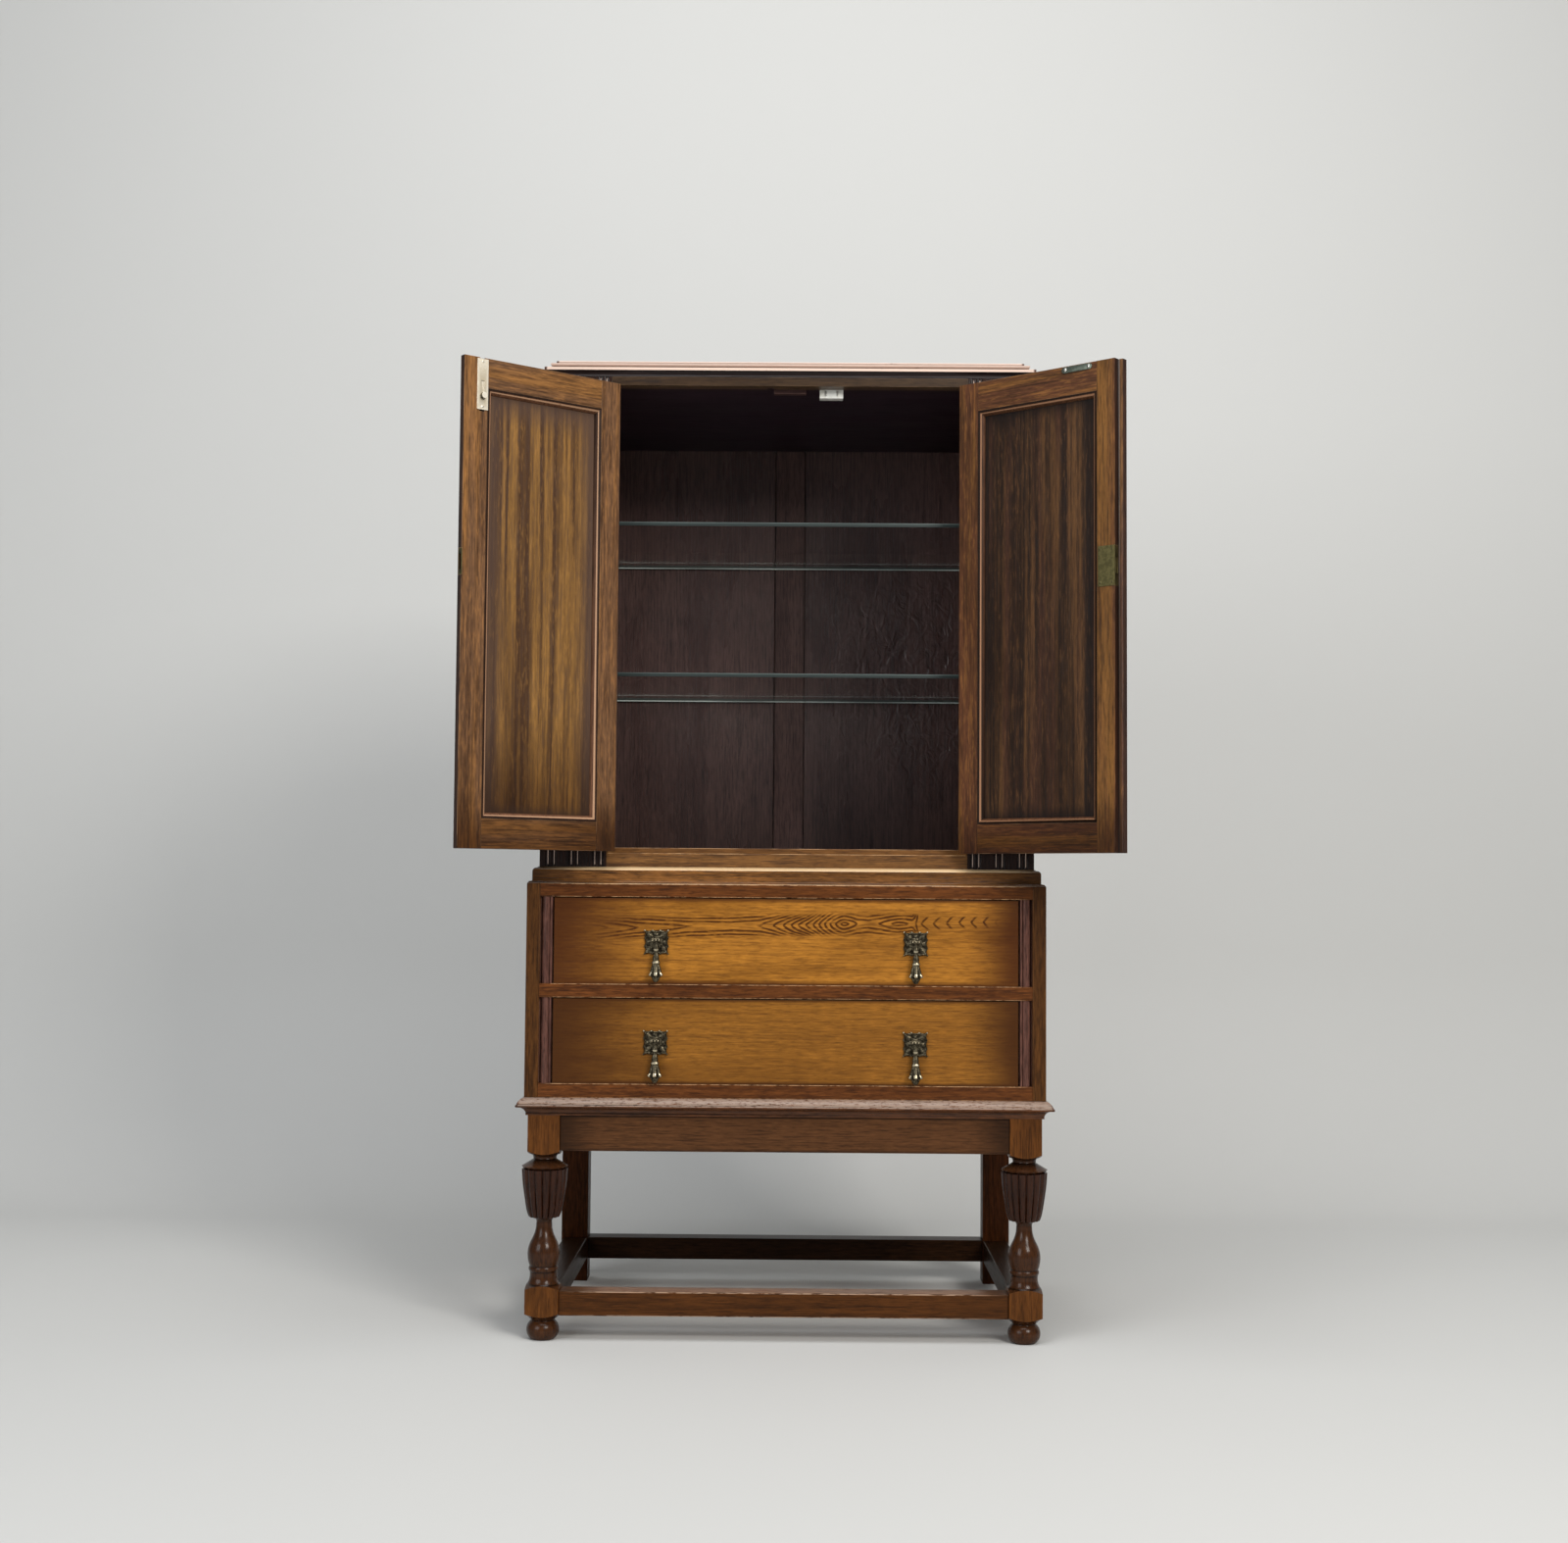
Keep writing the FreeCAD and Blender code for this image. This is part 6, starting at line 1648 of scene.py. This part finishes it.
@dataclass
class LeftDoor(Door):
    """The door that shuts first, with the keeper in its edge and a bolt at its top."""

    plate_arris: float = 0.0002
    plate_thickness: float = 0.0012
    plate_middle: tuple[float, float] = (-0.029, 1.319)
    screw_rise: float = 0.031
    round_levels: tuple[float, float] = (0.02, 0.998)
    round_most: float = 0.9

    def screws(self) -> Piece:
        """The two screws of the bolt's plate."""
        mesh = bmesh.new()
        across, up = self.plate_middle
        for sign in (-1, 1):
            spot = self.place(across, up + sign * self.screw_rise, self.plate_thickness)
            add_screw(mesh, spot, self.screw_radius, 0.9 + sign * 0.4)
        return self.trim("bolt_plate_screws", NICKEL, "nickel", mesh)

    def _mark_knob(self, mesh: Mesh) -> None:
        """Give the rounds of the bolt's knob and stem the tarnished finish."""
        through = self._through()
        for face in mesh.faces:
            side = abs(face.normal.dot(through)) < self.round_most
            face.material_index = 1 if side and between(abs(face.normal.z), self.round_levels) else 0

    def build(self) -> list[Piece]:
        """Make the left door."""
        return self.woodwork() + [
            self.carry("lock_keeper", BRASS, arris=self.leaf_arris),
            self.carry("bolt_plate", NICKEL, arris=self.plate_arris),
            self.carry("top_bolt", NICKEL, BRONZE, arris=self.plate_arris, detail=self._mark_knob),
            self.screws(),
        ]


@dataclass
class RightDoor(Door):
    """The door that shuts last, with the lock, its escutcheon and the catch's steel plate."""

    side: str = "right"
    timber: Wood = SHADED_RIGHT_DOOR_OAK
    panel: Wood = SHADED_RIGHT_PANEL_OAK
    bead: Wood = SHADED_RIGHT_BEAD_OAK
    lock_middle: tuple[float, float] = (0.01375, 1.074)
    lock_screws: tuple[float, float] = (0.0095, 0.0225)
    lock_proud: float = 0.0008
    lip_inset: float = 0.00125
    lip_width: float = 0.0020
    lip_half: float = 0.0265
    strike_middle: tuple[float, float] = (0.060, 1.35075)
    strike_length: float = 0.048
    strike_height: float = 0.0085
    strike_thickness: float = 0.0012
    strike_screw: float = 0.0185
    strike_screw_radius: float = 0.0026

    def lock_trim(self) -> Piece:
        """The lock's four screws and the bright lip along its free edge."""
        mesh = bmesh.new()
        across, up = self.lock_middle
        turn = 0.5
        for x in (-self.lock_screws[0], self.lock_screws[0]):
            for z in (-self.lock_screws[1], self.lock_screws[1]):
                add_screw(mesh, self.place(across + x, up + z, self.lock_proud), self.screw_radius, turn)
                turn += 0.9
        edge = self.inner_face + self.lock_proud
        low = Vector((self.lip_inset, edge, up - self.lip_half))
        high = Vector((self.lip_inset + self.lip_width, edge + 0.0002, up + self.lip_half))
        block(mesh, low, high, closed_to_open(self.side))
        return self.trim("lock_screws", BRASS, "aged_brass", mesh)

    def strike_plate(self) -> Piece:
        """The catch's steel plate with round ends and two bright screws, for the CAD's square one."""
        mesh = bmesh.new()
        radius = self.strike_height / 2
        made = bmesh.ops.create_circle(mesh, cap_ends=True, segments=32, radius=radius)
        for vert in made["verts"]:
            vert.co.x += math.copysign(self.strike_length / 2 - radius, vert.co.x)
        tops = moved_verts(bmesh.ops.extrude_face_region(mesh, geom=list(mesh.faces)))
        bmesh.ops.translate(mesh, verts=tops, vec=(0, 0, self.strike_thickness))
        rim = [edge for edge in mesh.edges if all(vert in tops for vert in edge.verts)]
        bmesh.ops.bevel(mesh, geom=rim, offset=self.strike_thickness * 0.4, segments=2, profile=0.5,
                        affect="EDGES", material=-1)
        across, up = self.strike_middle
        bmesh.ops.transform(mesh, matrix=self.place(across, up), verts=mesh.verts)
        for sign in (-1, 1):
            before = set(mesh.faces)
            spot = self.place(across + sign * self.strike_screw, up, self.strike_thickness)
            add_screw(mesh, spot, self.strike_screw_radius, 0.9 + sign * 0.5)
            for face in set(mesh.faces) - before:
                face.material_index = 1 if face.material_index else 2
        return self.trim("strike_plate_rounded", STEEL, "steel", mesh, "strike_plate")

    def build(self) -> list[Piece]:
        """Make the right door."""
        return self.woodwork() + [
            self.carry("lock_case", BRASS, arris=self.panel_arris),
            self.carry("lock_bolt", BRASS, arris=self.panel_arris),
            self.carry("escutcheon", BRONZE, arris=self.leaf_arris * 2),
            self.lock_trim(),
            self.strike_plate(),
        ]


# Studio

@dataclass(frozen=True)
class Lamp:
    """A square soft lamp: where it is, the point it faces, its side, power and linear colour."""

    name: str
    place: Place
    aim: Place
    side: float
    watts: float
    colour: Place

    def hang(self) -> None:
        """Add the lamp to the scene."""
        data = bpy.data.lights.new(self.name, "AREA")
        data.size = self.side
        data.energy = self.watts
        data.color = self.colour
        made = bpy.data.objects.new(self.name, data)
        made.location = self.place
        aim = Vector(self.aim) - Vector(self.place)
        made.rotation_euler = aim.to_track_quat("-Z", "Y").to_euler()
        bpy.context.scene.collection.objects.link(made)


LAMPS = (
    Lamp("key", (2.0, -3.6, 2.6), (0, 0, 0.9), 1.4, 122.0, (1.0, 0.97, 0.92)),
    Lamp("fill", (-2.6, -3.2, 1.7), (0, 0, 0.8), 1.8, 50.0, (0.96, 0.98, 1.0)),
    Lamp("overhead", (0.0, -1.2, 3.4), (0, 0, 0.8), 2.0, 62.0, (1.0, 1.0, 1.0)),
)


@dataclass
class Studio:
    """Pale paper sweep, soft lamps, and the camera at the photograph's place."""

    camera_place: Place = (0.01245, -3.060, 0.6405)
    pitch: float = 0.0556
    roll: float = 0.0075
    yaw: float = 0.0059
    lens: float = 46.98
    wall: float = 1.4
    bend: float = 0.5
    half_width: float = 5.0
    front: float = -5.0
    height: float = 4.0
    steps: int = 12
    sensor: float = 36.0
    air: Colour = tone(196, 204, 212)
    air_strength: float = 0.24

    def paper(self) -> None:
        """Build the sweep of paper under and behind the cabinet."""
        mesh = bmesh.new()
        line = [(self.front, 0.0)]
        for index in range(self.steps + 1):
            angle = math.pi / 2 * index / self.steps
            line.append((self.wall - self.bend + self.bend * math.sin(angle),
                         self.bend - self.bend * math.cos(angle)))
        line.append((self.wall, self.height))
        verts = [mesh.verts.new((-self.half_width, y, z)) for y, z in line]
        edges = [mesh.edges.new(pair) for pair in zip(verts, verts[1:])]
        moved = moved_verts(bmesh.ops.extrude_edge_only(mesh, edges=edges))
        bmesh.ops.translate(mesh, verts=moved, vec=(2 * self.half_width, 0, 0))
        bmesh.ops.recalc_face_normals(mesh, faces=mesh.faces)
        mesh.faces.ensure_lookup_table()
        if mesh.faces[0].normal.z < 0.0:
            bmesh.ops.reverse_faces(mesh, faces=mesh.faces)
        finish_mesh(mesh, "paper_sweep", [PAPER])

    def world(self) -> None:
        """Light everything faintly from all round."""
        world = bpy.data.worlds.new("studio")
        bpy.context.scene.world = world
        world.use_nodes = True
        tree = world.node_tree
        tree.nodes.clear()
        shade = tree.nodes.new("ShaderNodeBackground")
        shade.inputs["Color"].default_value = self.air
        shade.inputs["Strength"].default_value = self.air_strength
        out = tree.nodes.new("ShaderNodeOutputWorld")
        tree.links.new(shade.outputs[0], out.inputs["Surface"])

    def camera(self) -> None:
        """Place the camera."""
        data = bpy.data.cameras.new("camera")
        data.lens = self.lens
        data.sensor_width = self.sensor
        made = bpy.data.objects.new("camera", data)
        turn = (Matrix.Rotation(self.yaw, 4, "Z") @ Matrix.Rotation(math.pi / 2 + self.pitch, 4, "X")
                @ Matrix.Rotation(self.roll, 4, "Z"))
        made.matrix_world = Matrix.Translation(self.camera_place) @ turn
        bpy.context.scene.collection.objects.link(made)
        bpy.context.scene.camera = made

    def build(self) -> None:
        """Set the whole studio up."""
        self.paper()
        self.world()
        for lamp in LAMPS:
            lamp.hang()
        self.camera()
        bpy.context.scene.view_settings.view_transform = "Standard"


def main() -> None:
    """Build every piece in order."""
    logging.basicConfig(level=logging.INFO, format="%(name)s %(message)s")
    assemblies = [
        Stand(),
        Chest(),
        Drawer(level="upper", face=UPPER_DRAWER_OAK),
        Drawer(level="lower", face=LOWER_DRAWER_OAK),
        Cupboard(),
        LeftDoor(),
        RightDoor(),
    ]
    for assembly in assemblies:
        for piece in assembly.build():
            LOG.info("%s: %d faces", piece.name, len(piece.data.polygons))
    Studio().build()


if __name__ == "__main__":
    main()
